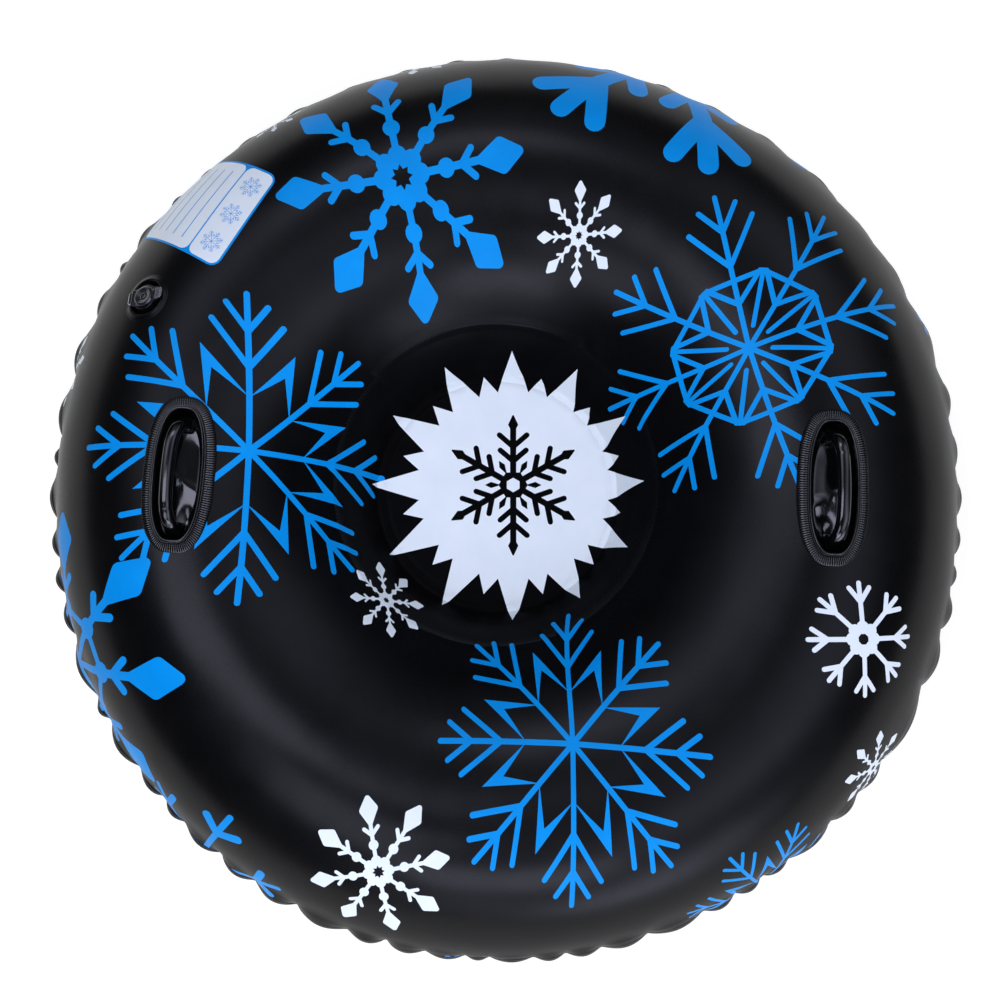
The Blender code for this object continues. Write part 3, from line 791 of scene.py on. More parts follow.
def film(name, colour, other, roughness, specular, spread=0.05, dull_edge=None):
    """Satin PVC film or the ink on it: a fine calendered grain, cloudy gloss and a little dust."""
    p = Paint(name, colour, roughness, specular)
    if dull_edge is not None:
        # the stretched film low on the sides has lost most of its shine
        axes = p.node("ShaderNodeSeparateXYZ")
        p.link(p.coords.outputs["Object"], axes.inputs["Vector"])
        p.link(p.ranged(axes.outputs["Z"], dull_edge, specular, MID_Z + 0.022, MID_Z + 0.100), p.bsdf.inputs["Specular IOR Level"])
    clouds = p.noise(9.0, 4.0)
    p.vary_colour(p.noise(26.0, 5.0), other)
    fine = p.noise(900.0, 2.0)
    p.vary_roughness(p.add(p.ranged(clouds, roughness - spread, roughness + spread), p.ranged(fine, -0.02, 0.02)))
    p.bump(p.noise(650.0, 2.0), 0.00003, 0.6)
    p.bump(p.noise(38.0, 2.0), 0.00012, 0.5)
    return p.mat


MAT_FILM = film("black_film", (0.0020, 0.0020, 0.0022), (0.0030, 0.0030, 0.0033), 0.28, 0.13, 0.03, 0.008)
# painted shade: the welded edge is darker and almost without reflection so it reads as a black shaded band under the
# lobes
MAT_HEM_SHADE = film("welded_edge_painted_shade_film", (0.0010, 0.0010, 0.0011), (0.0018, 0.0018, 0.0020), 0.36, 0.03, 0.03)
MAT_BLUE = film("blue_ink", (0.0004, 0.2300, 0.6000), (0.0006, 0.2600, 0.6600), 0.44, 0.07)
MAT_WHITE = film("white_ink", (0.6600, 0.7200, 0.7200), (0.7100, 0.7600, 0.7600), 0.45, 0.10)
MAT_HEAVY = film("heavy_film", (0.0030, 0.0030, 0.0033), (0.0045, 0.0045, 0.0050), 0.42, 0.20)
MAT_GLOSS = film("gloss_vinyl", (0.0016, 0.0016, 0.0018), (0.0024, 0.0024, 0.0027), 0.11, 0.50, 0.03)
MAT_BORDER = film("border_vinyl", (0.0022, 0.0022, 0.0024), (0.0034, 0.0034, 0.0037), 0.17, 0.50, 0.03)
# painted highlight and painted shade on the ribs: crests are coloured lighter and glossier, valleys near-black and dull
MAT_CREST_HIGHLIGHT = film("rib_crest_painted_highlight_vinyl", (0.0052, 0.0052, 0.0058), (0.0072, 0.0072, 0.0080), 0.26, 0.70, 0.03)
MAT_VALLEY_SHADE = film("rib_valley_painted_shade_vinyl", (0.0008, 0.0008, 0.0009), (0.0012, 0.0012, 0.0013), 0.55, 0.06)
MAT_VALVE = film("valve_vinyl_film", (0.0030, 0.0030, 0.0033), (0.0045, 0.0045, 0.0050), 0.30, 0.18)
MAT_PLUG = film("plug_vinyl", (0.0130, 0.0130, 0.0150), (0.0180, 0.0180, 0.0205), 0.20, 0.55, 0.03)
# painted highlight: the pull tab's pad is coloured lighter grey than the plug
MAT_TAB_HIGHLIGHT = film("tab_painted_highlight_vinyl", (0.0620, 0.0630, 0.0660), (0.0850, 0.0860, 0.0900), 0.24, 0.60, 0.03)
# painted highlight: the strap's bend is coloured light grey where it would catch the light
MAT_BEND_HIGHLIGHT = film("strap_bend_painted_highlight_vinyl", (0.5000, 0.5100, 0.5300), (0.4000, 0.4100, 0.4300), 0.28, 0.60, 0.03)

# ================================================================ skins
flat, tris, inks = lay_out_sheet()
order = {DARK: 0, BLUE: 1, WHITE: 2}
radii = np.hypot(flat[:, 0], flat[:, 1])
# dark faces beyond the seam get the painted-shade material of the welded edge
kinds = [3 if i == DARK and sum(radii[k] for k in f) / len(f) > RHO_SEAM + 0.0008 else order[i] for f, i in zip(tris, inks)]
upper = mesh_piece("printed_top_sheet", skin_points(flat, 1), tris, [MAT_FILM, MAT_BLUE, MAT_WHITE, MAT_HEM_SHADE], kinds, skin_normals(flat, 1))
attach(upper, "tube")
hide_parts("upper_skin")


def bottom_sheet():
    """The plain bottom sheet on a regular net of rings and spokes, and round the welded edge up to the top sheet."""
    spokes = 1080
    rhos = list(np.arange(0.0, 0.128, 0.012)) + [0.1312, 0.1330, 0.1360, 0.1388, 0.1400, 0.1425, 0.1460]
    rho = 0.152
    while rho < RHO_SEAM - 0.055:
        rhos.append(rho)
        rho += 0.0105
    inward = RHO_SEAM - rho
    while inward > 0.0006:
        rhos.append(RHO_SEAM - inward)
        inward -= 0.0024 + 0.09 * max(0.0, inward - 0.012)
    rhos += [RHO_SEAM + o for o in (0.0, 0.0005, 0.0010, 0.0016, 0.0030, 0.0052, HEM_W)]
    rhos = sorted(rhos)[1:]
    pts = [np.zeros((1, 2))]
    faces = []
    counts = []
    for j, r in enumerate(rhos):
        pts.append(ring_points(r, 2.0 * math.pi * r / spokes, 0.0))
    flat2 = np.concatenate(pts)
    co = skin_points(flat2, -1)
    nor = skin_normals(flat2, -1)
    for i in range(spokes):
        k = (i + 1) % spokes
        faces.append((0, 1 + k, 1 + i))
    for j in range(len(rhos) - 1):
        a, b = 1 + j * spokes, 1 + (j + 1) * spokes
        for i in range(spokes):
            k = (i + 1) % spokes
            faces.append((a + i, a + k, b + k, b + i))
    # over the cut edge to the top sheet
    last = 1 + (len(rhos) - 1) * spokes
    edge = co[last:last + spokes]
    top = skin_points(ring_points(RHO_EDGE, 2.0 * math.pi * RHO_EDGE / spokes, 0.0), 1)
    rad = edge[:, :2] / np.linalg.norm(edge[:, :2], axis=1, keepdims=True)
    first = len(co)
    extra, extra_n = [], []
    for f in (0.5, 1.0):
        extra.append(edge * (1.0 - f) + top * f)
        m = np.concatenate([rad, np.zeros((spokes, 1))], 1)
        extra_n.append(m)
    co = np.concatenate([co] + extra)
    nor = np.concatenate([nor] + extra_n)
    rings = [last, first, first + spokes]
    for a, b in zip(rings, rings[1:]):
        for i in range(spokes):
            k = (i + 1) % spokes
            faces.append((a + i, a + k, b + k, b + i))
    return mesh_piece("bottom_sheet", co, faces, [MAT_HEAVY], None, nor)


lower = bottom_sheet()
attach(lower, "tube")
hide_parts("lower_skin")


# ================================================================ moulded parts
def loft(name, rings, material, slots=None, materials=None, pick=None):
    """A closed skin over rings of points; the last ring joins the first, and a ring of one point closes to a tip."""
    points, faces, kinds, first = [], [], [], []
    for ring in rings:
        first.append((len(points), len(ring)))
        points += ring
    for j in range(len(rings)):
        (a, n), (b, m) = first[j], first[(j + 1) % len(rings)]
        if n == 1 and m == 1:
            continue
        for i in range(max(n, m)):
            k = (i + 1) % max(n, m)
            if n == 1:
                faces.append((a, b + i, b + k))
            elif m == 1:
                faces.append((a + i, b, a + k))
            else:
                faces.append((a + i, b + i, b + k, a + k))
            kinds.append(pick(j, i) if pick and pick(j, i) is not None else slots[j] if slots else 0)
    return face_outwards(mesh_piece(name, points, faces, materials or [material], kinds))


def face_outwards(obj):
    bm = bmesh.new()
    bm.from_mesh(obj.data)
    bmesh.ops.recalc_face_normals(bm, faces=bm.faces)
    bm.to_mesh(obj.data)
    bm.free()
    return obj


RIBS = 160


def border_curve(a, b, power, count):
    """The handle's outline at even steps along its length: points, outward normals and curve parameters."""
    fine = 4096
    t = np.arange(fine + 1) * 2.0 * math.pi / fine
    x = a * np.sign(np.cos(t)) * np.abs(np.cos(t)) ** (2.0 / power)
    y = b * np.sign(np.sin(t)) * np.abs(np.sin(t)) ** (2.0 / power)
    run = np.concatenate([[0.0], np.cumsum(np.hypot(np.diff(x), np.diff(y)))])
    want = np.arange(count) * run[-1] / count
    px, py, pt = np.interp(want, run, x), np.interp(want, run, y), np.interp(want, run, t)
    tx, ty = np.roll(px, -1) - np.roll(px, 1), np.roll(py, -1) - np.roll(py, 1)
    length = np.hypot(tx, ty)
    return px, py, ty / length, -tx / length, pt


def handle_cup(name, seat, node, swell):
    """The welded handle pan: a border with fine cross ribs, a glossy rolled lip and a deep soft bath."""
    count = RIBS * 4
    px, py, nx, ny, pt = border_curve(0.040, 0.088, 2.6, count)
    width = 0.0110 - 0.0017 * np.cos(pt) + 0.0002 * np.sin(3.0 * pt + swell)
    wave = np.tile([0.42, 1.0, 0.42, 0.0], RIBS)
    rings, kinds = [], []

    def ring(inset, height, on_sheet=True):
        out = []
        for i in range(count):
            u, v = px[i] - nx[i] * inset[i], py[i] - ny[i] * inset[i]
            w = height[i]
            out.append(seat.on_sheet(u, v, w) if on_sheet else seat.at(u, v, w))
        return out

    one = np.ones(count)
    uneven = 0.00018 * np.sin(5.0 * pt + swell) + 0.00012 * np.sin(11.0 * pt + 2.0 * swell)

    def add(inset, height, kind):
        rings.append(ring(inset, height))
        kinds.append(kind)

    add(0.0004 * one, -0.0002 * one, 0)
    add(-0.0001 + uneven, 0.0003 * one, 0)
    add(0.0001 + uneven, 0.0010 * one, 0)
    add(0.0006 + uneven, 0.0013 * one, 0)
    ribbed = [len(rings) - 1, 0]
    add(0.0014 * one, 0.0014 + 0.00055 * wave, 0)
    add(0.0030 * one, 0.0020 + 0.00095 * wave, 0)
    add(0.5 * width, 0.0024 + 0.00100 * wave, 0)
    add(width - 0.0026, 0.0021 + 0.00095 * wave, 0)
    add(width - 0.0008, 0.0013 + 0.00060 * wave, 0)
    ribbed[1] = len(rings) - 1
    add(width + 0.0001, 0.0007 * one, 1)
    add(width + 0.0004, 0.0010 * one, 1)
    for k in range(11):
        a = math.pi * k / 10.0
        add(width + 0.0020 - 0.0016 * math.cos(a), 0.0013 + 0.0023 * math.sin(a) + 0.0002 * np.sin(2.0 * pt + swell), 1)
    # the bath: steep soft walls and a broad floor that rises towards one end
    inset = width + 0.0036
    mu, mv = px - nx * inset, py - ny * inset
    fall = np.array([seat.fall(mu[i], mv[i]) for i in range(count)])
    low = 1.0 if seat.y.y > 0.0 else -1.0

    def floor_at(u, v):
        along = v * low / 0.073
        ex = u * seat.x.x + v * seat.y.x
        ey = u * seat.x.y + v * seat.y.y
        side = -1.0 if seat.x.x > 0.0 else 1.0
        near = smoothstep(0.06, -0.16, along + 6.0 * side * ex)
        lean = 0.16 if seat.x.x > 0.0 else 0.05
        deep = 0.0235 - 0.0030 * smoothstep(0.45, 1.0, along) - (lean * ex + 0.085 * (ey + 0.030)) * near
        deep = deep + (0.06 * ex + 0.07 * (ey - 0.020)) * (1.0 - near)
        deep = deep + 0.0040 * np.exp(-((ex - side * 0.0085) / 0.0100) ** 2 - ((ey + 0.0510) / 0.0135) ** 2)
        deep = deep + 0.0005 * np.sin(u / 0.0120 + along * 2.6 + swell) * np.cos(along * 2.2)
        return deep

    def bath_ring(q, thick):
        g = max(0.0, 1.0 - q ** 18.0) ** 0.5
        u, v = mu * q, mv * q
        w = -floor_at(u, v) * g + fall * q ** 6.0 + 0.0002 * q ** 8.0
        return [seat.at(u[i] * (1.0 + thick), v[i] * (1.0 + 0.4 * thick), w[i] - (0.0013 if thick > 0.0 else 0.0)) for i in range(count)]

    for q in (0.9995, 0.997, 0.992, 0.984, 0.972, 0.955, 0.93, 0.895, 0.85, 0.79, 0.71, 0.62, 0.52, 0.41, 0.29, 0.16):
        rings.append(bath_ring(q, 0.0))
        kinds.append(1)
    rings.append([seat.at(0.0, 0.0, -float(floor_at(0.0, 0.0)))])
    kinds.append(1)
    # back of the shell
    rings.append([seat.at(0.0, 0.0, -float(floor_at(0.0, 0.0)) - 0.0013)])
    kinds.append(1)
    for q in (0.29, 0.52, 0.71, 0.85, 0.93, 0.972, 0.992):
        rings.append(bath_ring(q, 0.05 * q ** 6.0 + 1e-6))
        kinds.append(1)
    # crest faces get the painted-highlight material, valley faces the painted-shade material
    def rib(j, i):
        if ribbed[0] <= j < ribbed[1]:
            return 2 if i % 4 in (0, 1) else 3
        return None

    obj = loft(name, rings, MAT_BORDER, kinds, [MAT_BORDER, MAT_GLOSS, MAT_CREST_HIGHLIGHT, MAT_VALLEY_SHADE], rib)
    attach(obj, "tube")
    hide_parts(node)
    return obj


def smooth_path(points, count):
    """Catmull-Rom through the points, at even steps in the parameter."""
    p = [Vector(q) for q in points]
    p = [p[0] * 2.0 - p[1]] + p + [p[-1] * 2.0 - p[-2]]
    out = []
    for i in range(count):
        s = (len(p) - 3) * i / (count - 1)
        k = min(int(s), len(p) - 4)
        t = s - k
        a, b, c, d = p[k:k + 4]
        out.append(0.5 * ((2.0 * b) + (c - a) * t + (2.0 * a - 5.0 * b + 4.0 * c - d) * t * t + (3.0 * b - a - 3.0 * c + d) * t ** 3))
    return out


def handle_grip(name, seat, node, swell):
    """The bowed grip: an oval bar that springs from two collars in the bath, with a fine mould seam."""
    half = [(0.0, -0.0605, -0.0262), (0.0002, -0.0602, -0.0175), (0.0018, -0.0590, -0.0085), (0.0050, -0.0548, -0.0012), (0.0084, -0.0468, 0.0038),
            (0.0106, -0.0350, 0.0068), (0.0115, -0.0185, 0.0085)]
    route = half + [(0.0118, 0.0, 0.0090)] + [(u, -v, w) for u, v, w in reversed(half)]
    steps, around = 121, 56
    path = smooth_path(route, steps)
    rings = [[seat.at(*path[0])]]
    for i, q in enumerate(path):
        f = i / (steps - 1)
        tangent = (path[min(i + 1, steps - 1)] - path[max(i - 1, 0)]).normalized()
        out = Vector((1.0, 0.0, 0.0))
        out = (out - tangent * out.dot(tangent)).normalized()
        up = out.cross(tangent).normalized()
        if up.z < 0.0:
            up = -up
        end = min(f, 1.0 - f)
        wide = 0.0070 + 0.0008 * float(smoothstep(0.10, 0.34, end))
        high = 0.0070 + 0.0002 * float(smoothstep(0.10, 0.34, end))
        flare = 0.0036 * float(1.0 - smoothstep(0.0, 0.075, end)) ** 2
        collar = 0.0018 * math.exp(-((end - 0.100) / 0.024) ** 4)
        square = 2.3 + 4.2 * float(1.0 - smoothstep(0.115, 0.150, end))
        dent = -0.00035 * math.exp(-((f - 0.66) / 0.018) ** 2) + 0.00015 * math.sin(17.0 * f + swell)
        ring = []
        for k in range(around):
            a = 2.0 * math.pi * k / around
            seam = 0.00028 * math.exp(-(math.remainder(a - 0.9, 2.0 * math.pi) / 0.075) ** 2) * float(smoothstep(0.14, 0.2, end))
            grow = flare + collar + dent + seam
            ca, sa = math.cos(a), math.sin(a)
            r = (abs(ca) ** square + abs(sa) ** square) ** (-1.0 / square)
            ring.append(seat.at(*(q + out * (ca * r * (wide + grow)) + up * (sa * r * (high + grow)))))
        rings.append(ring)
    rings.append([seat.at(*path[-1])])
    obj = loft(name, rings, MAT_GLOSS)
    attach(obj, "tube")
    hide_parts(node)
    return obj


handle_cup("right_handle_pan", RIGHT, "right_handle_cup", 0.4)
handle_cup("left_handle_pan", LEFT, "left_handle_cup", 2.1)
handle_grip("right_grip_bar", RIGHT, "right_handle_grip", 0.3)
handle_grip("left_grip_bar", LEFT, "left_handle_grip", 1.9)


# ---------------------------------------------------------------- valve
def turned_piece(name, profile, count, material, place, body=None, ripple=0.0):
    """A profile of (radius, height) in mm turned round the valve's axis, as a closed skin."""
    rings = []
    for r, w in profile:
        ring = []
        for i in range(count):
            a = 2.0 * math.pi * i / count
            rr = 0.001 * (r + ripple * math.sin(9.0 * a + 0.7 * w) * math.sin(4.0 * a + 1.0))
            ring.append(place(rr * math.cos(a), rr * math.sin(a), 0.001 * w))
        rings.append(ring)
    obj = loft(name, rings, material)
    if body is not None:
        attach(obj, body)
    return obj


ring_profile = [(29.2, -0.15), (29.6, 0.0), (29.5, 0.14), (28.9, 0.28), (28.1, 0.42), (27.2, 0.62), (26.3, 0.92), (25.4, 1.34), (24.6, 1.75),
                (23.8, 2.05), (23.0, 2.12), (22.3, 1.90), (21.8, 1.45), (21.45, 0.7), (21.5, 0.0), (21.9, -0.3), (25.0, -0.35)]


def on_ring(u, v, w):
    """The flange is lower where the swung-back plug lies over it."""
    dip = 0.62 * math.exp(-(v / 0.0105) ** 4) if u < 0.0 and w > 0.0 else 0.0
    return VALVE.on_sheet(u, v, w * (1.0 - dip))


flange = turned_piece("valve_ring", ring_profile, 168, MAT_FILM, on_ring, "tube", 0.06)
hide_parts("valve_flange")

web_profile = [(21.6, 0.9), (21.45, -1.0), (21.2, -3.0), (20.8, -4.9), (20.1, -6.8), (19.1, -8.2), (17.8, -9.1), (16.6, -9.5), (15.6, -9.6),
               (15.6, -10.1), (16.6, -10.0), (18.1, -9.6), (19.5, -8.6), (20.6, -7.1), (21.3, -5.1), (21.7, -3.0), (21.95, -1.0), (22.1, 0.9)]


def on_sleeve(u, v, w):
    """The sleeve's top edge follows the sheet and its lower edge is flat."""
    return VALVE.at(u, v, w + VALVE.fall(u, v) * min(max((w + 0.0096) / 0.0105, 0.0), 1.0))


web = turned_piece("valve_sleeve", web_profile, 144, MAT_VALVE, on_sleeve, None, 0.10)
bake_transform(web)
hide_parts("valve_web")

stem_profile = [(7.5, 2.0), (7.7, 2.6), (8.3, 2.95), (9.2, 3.05), (10.8, 3.05), (11.3, 2.8), (11.6, 2.35), (12.3, 2.35), (12.6, 2.8), (13.1, 3.05),
                (14.3, 3.05), (15.0, 2.8), (15.4, 2.3), (15.5, 1.5), (15.5, -2.2), (15.25, -2.6), (15.25, -3.4), (15.5, -3.8), (15.5, -8.7), (15.3, -9.5),
                (14.8, -10.0), (14.0, -10.2), (11.4, -10.2), (10.6, -10.5), (10.1, -11.2), (10.0, -12.2), (10.0, -17.0), (9.8, -17.4), (10.0, -17.8),
                (10.0, -23.0), (9.8, -23.7), (9.2, -24.0), (8.2, -24.0), (7.7, -23.8), (7.5, -23.3), (7.5, -12.0)]
stem = turned_piece("valve_stem_tube", stem_profile, 120, MAT_VALVE, VALVE.at, "valve_stem_body")
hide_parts("valve_stem")


def box_distance(u, v, u0, u1, half, r):
    """Signed distance in mm to a rounded box."""
    cu, hu = 0.5 * (u0 + u1), 0.5 * (u1 - u0)
    du, dv = abs(u - cu) - hu + r, abs(v) - half + r
    return math.hypot(max(du, 0.0), max(dv, 0.0)) + min(max(du, dv), 0.0) - r


def plug_distance(u, v):
    parts = [box_distance(u, v, -16.2, -5.0, 8.8, 1.2), math.hypot(u, v) - 12.0, box_distance(u, v, 6.0, 17.0, 4.9, 0.5), box_distance(u, v, 14.0, 25.3, 6.5, 4.2)]
    d = parts[0]
    for e in parts[1:]:
        h = max(1.6 - abs(d - e), 0.0) / 1.6
        d = min(d, e) - h * h * 1.6 * 0.25
    return d


def trace(level, step):
    """The plug's outline moved inwards by -level, as points at even steps."""
    def grad(u, v):
        e = 0.01
        gu = (plug_distance(u + e, v) - plug_distance(u - e, v)) / (2 * e)
        gv = (plug_distance(u, v + e) - plug_distance(u, v - e)) / (2 * e)
        g = math.hypot(gu, gv)
        return gu / g, gv / g

    u, v = -16.2 - level, 0.0
    for _ in range(20):
        gu, gv = grad(u, v)
        f = plug_distance(u, v) - level
        u, v = u - gu * f, v - gv * f
    start, loop = (u, v), [(u, v)]
    for n in range(4000):
        gu, gv = grad(u, v)
        u, v = u - gv * step, v + gu * step
        for _ in range(3):
            gu, gv = grad(u, v)
            f = plug_distance(u, v) - level
            u, v = u - gu * f, v - gv * f
        if n > 6 and math.hypot(u - start[0], v - start[1]) < 0.75 * step:
            break
        loop.append((u, v))
    return loop


def on_plug(u, v, w):
    """Millimetres on the plug's plan to the valve's frame; the moulding is a little longer and wider than its plan."""
    return VALVE.at(0.001 * (u * 1.08), 0.001 * (v * 1.05), 0.001 * w)


def plug_top(u, v):
    """Height in mm of the plug's upper face over the valve's rest plane."""
    r = math.hypot(u, v)
    w = 5.5
    w += 0.75 * math.exp(-((r - 9.4) / 1.25) ** 2)
    w -= 0.85 * (1.0 - float(smoothstep(4.6, 7.2, r)))
    w += 0.5 * math.exp(-((r - 3.0) / 0.9) ** 2)
    if u < -9.0:
        w += 0.55 * float(smoothstep(-10.6, -12.6, u)) - 1.1 * float(smoothstep(-14.6, -16.6, u))
    if u > 15.0:
        w += 0.45 * math.cos(2.0 * math.pi * (u - 16.5) / 2.1) * float(smoothstep(15.0, 16.0, u)) * float(1.0 - smoothstep(22.4, 23.2, u))
        w += 1.5 * float(smoothstep(15.0, 25.5, u)) ** 2
    return w


def plug_bottom(u, v):
    return 3.3 + (1.5 * float(smoothstep(15.0, 25.5, u)) ** 2 if u > 15.0 else 0.0)


def plug_piece():
    edge = trace(0.0, 0.55)
    inner = [trace(-d, 0.55) for d in (0.25, 0.6, 1.0, 1.5)]
    pts = [Vector(p) for p in edge]
    for loop in inner:
        pts += [Vector(p) for p in loop]
    marks = len(pts)
    u = -16.0
    while u < 25.5:
        v = -12.0
        while v < 12.1:
            if plug_distance(u, v) < -1.85:
                pts.append(Vector((u, v)))
            v += 0.62
        u += 0.62
    out_v, _, out_f, _, _, _ = delaunay_2d_cdt(pts, [], [list(range(len(edge)))], 2, 1e-6, True)
    plan = [(p[0], p[1]) for p in out_v]

    def round_off(u, v, size):
        d = min(max(-plug_distance(u, v) / size, 0.0), 1.0)
        return size * (1.0 - math.sqrt(max(0.0, 1.0 - (1.0 - d) ** 2)))

    points, faces = [], []
    for u, v in plan:
        points.append(on_plug(u, v, plug_top(u, v) - round_off(u, v, 0.95)))
    n = len(plan)
    for u, v in plan:
        points.append(on_plug(u, v, plug_bottom(u, v) + round_off(u, v, 0.35)))
    counts = {}
    for f in out_f:
        f = list(f)
        area = sum(plan[a][0] * plan[b][1] - plan[b][0] * plan[a][1] for a, b in zip(f, f[1:] + f[:1]))
        if area < 0.0:
            f.reverse()
        faces.append(f)
        faces.append([n + k for k in reversed(f)])
        for a, b in zip(f, f[1:] + f[:1]):
            counts[(a, b)] = True
    for a, b in list(counts):
        if (b, a) not in counts:
            faces.append((b, a, n + a, n + b))
    # stopper below the cap
    profile = [(0.0, 4.2), (6.2, 4.2), (6.9, 3.9), (7.05, 3.2), (6.95, 1.0), (7.1, 0.4), (7.1, -0.3), (6.85, -0.9), (6.6, -2.4), (6.2, -4.2), (5.7, -5.1), (5.0, -5.5), (3.6, -5.5), (3.1, -5.1), (2.9, -4.0), (0.0, -3.8)]
    base = len(points)
    count = 72
    rows = []
    for r, w in profile:
        if r == 0.0:
            rows.append([len(points)])
            points.append(VALVE.at(0.0, 0.0, 0.001 * w))
        else:
            rows.append(list(range(len(points), len(points) + count)))
            points += [VALVE.at(0.001 * r * math.cos(2 * math.pi * i / count), 0.001 * r * math.sin(2 * math.pi * i / count), 0.001 * w) for i in range(count)]
    for a, b in zip(rows, rows[1:]):
        for i in range(count):
            k = (i + 1) % count
            if len(a) == 1:
                faces.append((a[0], b[i], b[k]))
            elif len(b) == 1:
                faces.append((a[i], b[0], a[k]))
            else:
                faces.append((a[i], b[i], b[k], a[k]))
    # top faces of the pull tab get the lighter painted-highlight material
    kinds = [1 if max(f) < n and sum(plan[k][0] for k in f) / len(f) > 15.6 else 0 for f in faces]
    obj = face_outwards(mesh_piece("valve_stopper_plug", points, faces, [MAT_PLUG, MAT_TAB_HIGHLIGHT], kinds))
    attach(obj, "plug")
    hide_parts("valve_plug")
    return obj


plug_piece()


def strap_piece():
    """The short bent strap between the stem and the plug, a ribbon with rounded edges."""
    route = [(-15.6, -3.4), (-16.5, -3.1), (-17.7, -2.2), (-18.9, -0.3), (-19.5, 2.1), (-19.5, 3.9), (-18.8, 5.0), (-17.1, 5.35), (-15.0, 5.1)]
    path = smooth_path([(u, 0.0, w) for u, w in route], 49)
    rings = []
    for i, q in enumerate(path):
        tangent = (path[min(i + 1, 48)] - path[max(i - 1, 0)]).normalized()
        side = Vector((0.0, 1.0, 0.0))
        out = side.cross(tangent).normalized()
        thick = 0.42 + 0.10 * math.sin(math.pi * i / 48.0)
        ring = []
        for k in range(40):
            a = 2.0 * math.pi * k / 40
            ca, sa = math.cos(a), math.sin(a)
            y = 6.1 * math.copysign(abs(ca) ** 0.35, ca)
            z = thick * math.copysign(abs(sa) ** 0.8, sa)
            z += 0.22 * math.exp(-((abs(y) - 5.3) / 0.5) ** 2) * (1.0 if sa * 1.0 > 0 else 0.0)
            c = q + side * y + out * z
            ring.append(on_plug(c.x, c.y, c.z))
        rings.append(ring)
    first = [on_plug(*path[0])]
    last = [on_plug(*path[-1])]
    # the faces round the strap's bend get the painted-highlight material
    obj = loft("valve_hinge_strap", [first] + rings + [last], MAT_PLUG, None, [MAT_PLUG, MAT_BEND_HIGHLIGHT], lambda j, i: 1 if 20 <= j <= 38 else None)
    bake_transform(obj)
    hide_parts("valve_strap")
    return obj


strap_piece()


def flap_piece():
    """The thin check flap under the stem's bore: a disc with a beaded rim."""
    plan = [0.0, 2.4, 4.8, 6.6, 7.6, 8.2, 8.7, 9.1, 9.45, 9.6]
    lift = [0.0, 0.0, 0.0, 0.0, 0.0, 0.10, 0.22, 0.20, 0.08, -0.15]
    count = 96
    rings = []
    for r, h in zip(plan, lift):
        if r == 0.0:
            rings.append([VALVE.at(0.0, 0.0, -0.0245)])
        else:
            rings.append([VALVE.at(0.001 * r * math.cos(2 * math.pi * i / count), 0.001 * r * math.sin(2 * math.pi * i / count), 0.001 * (-24.5 - 0.10 + 0.5 * h)) for i in range(count)])
    for r, h in zip(reversed(plan), reversed(lift)):
        if r == 0.0:
            rings.append([VALVE.at(0.0, 0.0, -0.0252)])
        elif r < 9.5:
            rings.append([VALVE.at(0.001 * r * math.cos(2 * math.pi * i / count), 0.001 * r * math.sin(2 * math.pi * i / count), 0.001 * (-25.15 - 0.6 * h)) for i in range(count)])
    obj = loft("valve_check_flap", rings, MAT_VALVE)
    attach(obj, "flap")
    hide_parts("valve_flap")
    return obj


flap_piece()

# ================================================================ floor, light and camera
def stage_floor():
    """A broad pale floor, laid out as a ring of quads round a middle patch."""
    co, faces = [(0.0, 0.0, 0.0)], []
    radii = [0.6, 1.5, 4.0, 12.0, 40.0]
    n = 48
    for r in radii:
        co += [(r * math.cos(2 * math.pi * i / n), r * math.sin(2 * math.pi * i / n), 0.0) for i in range(n)]
    for i in range(n):
        faces.append((0, 1 + i, 1 + (i + 1) % n))
    for j in range(len(radii) - 1):
        a, b = 1 + j * n, 1 + (j + 1) * n
        for i in range(n):
            k = (i + 1) % n
            faces.append((a + i, b + i, b + k, a + k))
    p = Paint("pale_floor", (0.50, 0.48, 0.40), 0.9, 0.1)
    p.vary_colour(p.noise(0.8, 3.0), (0.48, 0.46, 0.385))
    p.vary_roughness(p.ranged(p.noise(3.0), 0.85, 0.95))
    p.bsdf.inputs["Emission Color"].default_value = (1.0, 1.0, 1.0, 1.0)
    p.bsdf.inputs["Emission Strength"].default_value = 0.71
    obj = mesh_piece("studio_floor", [(x, y, -0.0004) for x, y, _ in co], faces, [p.mat])


stage_floor()


def area_light(name, place, aim, size, power, colour=(1.0, 1.0, 1.0)):
    data = bpy.data.lights.new(name, "AREA")
    data.shape = "RECTANGLE"
    data.size, data.size_y = size
    data.energy = power
    data.color = colour
    obj = bpy.data.objects.new(name, data)
    bpy.context.scene.collection.objects.link(obj)
    obj.location = place
    obj.rotation_euler = (Vector(aim) - Vector(place)).to_track_quat("-Z", "Y").to_euler()
    obj.visible_camera = False
    return obj


LIGHT = (0.96, 1.0, 1.25)
MIDDLE = (0.0, 0.0, 0.2)


def direction(elevation, azimuth):
    e, a = math.radians(elevation), math.radians(azimuth)
    return (math.cos(e) * math.cos(a), math.cos(e) * math.sin(a), math.sin(e))


def soft_box(name, elevation, azimuth, radiance, size, away=3.2):
    """A rectangular box of even brightness that faces the object."""
    d = direction(elevation, azimuth)
    place = tuple(m + away * c for m, c in zip(MIDDLE, d))
    area_light(name, place, MIDDLE, size, radiance * math.pi * size[0] * size[1], LIGHT)


soft_box("left_top_box", 71.0, 180.0, 4.8, (0.95, 1.60))
soft_box("front_left_box", 53.0, 239.0, 3.7, (1.05, 1.45))
soft_box("front_box", 35.0, 270.0, 5.2, (1.70, 0.92))
soft_box("back_box", 51.0, 99.0, 3.6, (1.30, 0.62))

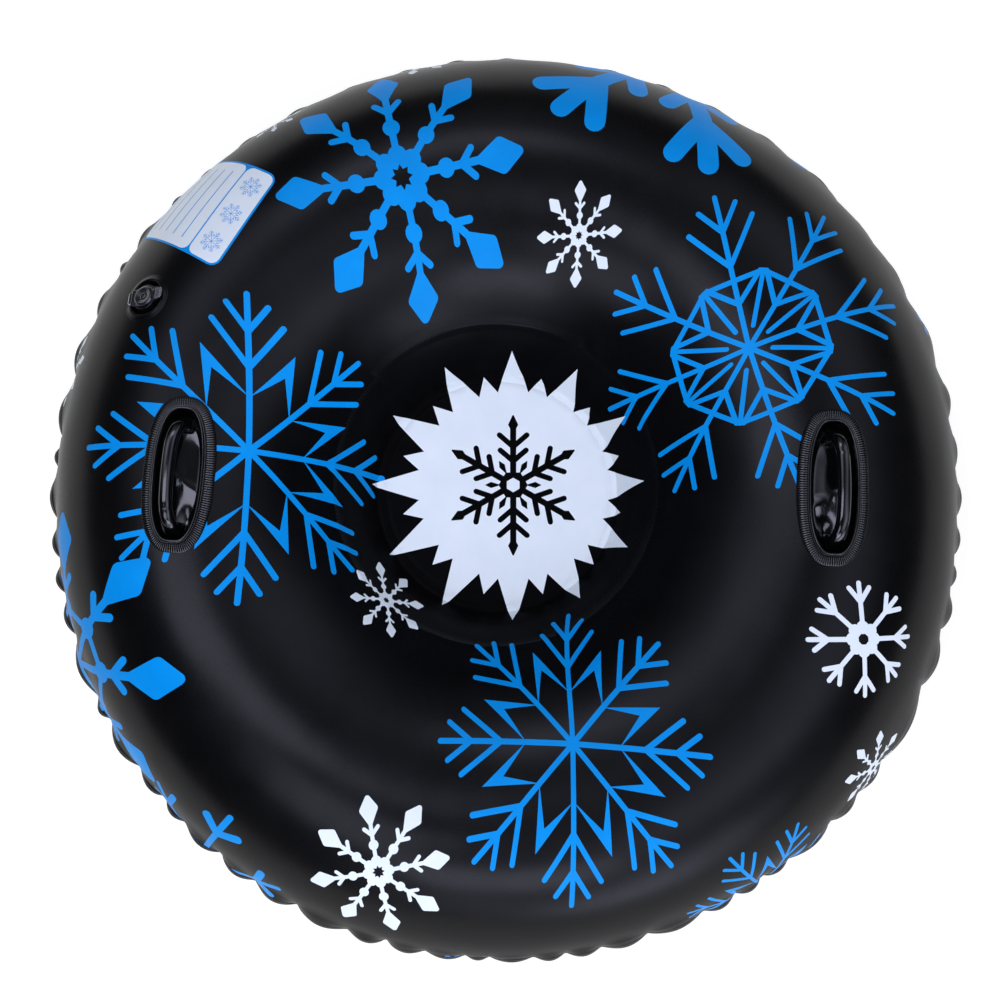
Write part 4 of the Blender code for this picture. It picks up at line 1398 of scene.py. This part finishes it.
# round glows of light paper between the boxes: elevation, azimuth, brightness
GLOWS = [(71.0, 0.0, 1.47), (53.0, 43.0, 1.48), (53.0, 108.0, 0.70), (53.0, 141.0, 2.35), (53.0, 305.0, 2.39), (53.0, 337.0, 2.0),
         (35.0, 45.0, 1.15), (35.0, 90.0, 0.40), (17.0, 303.0, 3.3), (17.0, 262.0, 1.9), (6.0, 288.0, 4.8)]


def studio_world():
    world = bpy.data.worlds.new("studio")
    bpy.context.scene.world = world
    world.use_nodes = True
    tree = world.node_tree
    back = tree.nodes["Background"]
    back.inputs["Color"].default_value = (*LIGHT, 1.0)
    coords = tree.nodes.new("ShaderNodeTexCoord")
    total = None
    for elevation, azimuth, strength in GLOWS:
        dot = tree.nodes.new("ShaderNodeVectorMath")
        dot.operation = "DOT_PRODUCT"
        dot.inputs[1].default_value = direction(elevation, azimuth)
        tree.links.new(coords.outputs["Generated"], dot.inputs[0])
        front = tree.nodes.new("ShaderNodeMath")
        front.operation = "MAXIMUM"
        front.inputs[1].default_value = 0.0
        tree.links.new(dot.outputs["Value"], front.inputs[0])
        power = tree.nodes.new("ShaderNodeMath")
        power.operation = "POWER"
        power.inputs[1].default_value = 40.0
        tree.links.new(front.outputs[0], power.inputs[0])
        add = tree.nodes.new("ShaderNodeMath")
        add.operation = "MULTIPLY_ADD"
        add.inputs[1].default_value = strength
        tree.links.new(power.outputs[0], add.inputs[0])
        if total is None:
            add.inputs[2].default_value = 0.0
        else:
            tree.links.new(total, add.inputs[2])
        total = add.outputs[0]
    tree.links.new(total, back.inputs["Strength"])


studio_world()

scene = bpy.context.scene
scene.view_settings.view_transform = "Standard"
scene.view_settings.look = "None"
scene.view_settings.exposure = 0.0
scene.view_settings.gamma = 1.0

elevation, distance = math.radians(81.0), 3.0
aim = Vector((-0.0063, -0.0001, MID_Z))
cam_data = bpy.data.cameras.new("camera")
cam_data.sensor_width = 36.0
cam_data.sensor_fit = "HORIZONTAL"
cam_data.lens = 36.0 * 2587.0 / 1000.0
cam_data.clip_start = 0.05
cam_data.clip_end = 100.0
cam = bpy.data.objects.new("camera", cam_data)
scene.collection.objects.link(cam)
cam.location = aim + distance * Vector((0.0, -math.cos(elevation), math.sin(elevation)))
cam.rotation_euler = (math.pi / 2.0 - elevation, 0.0, 0.0)
scene.camera = cam
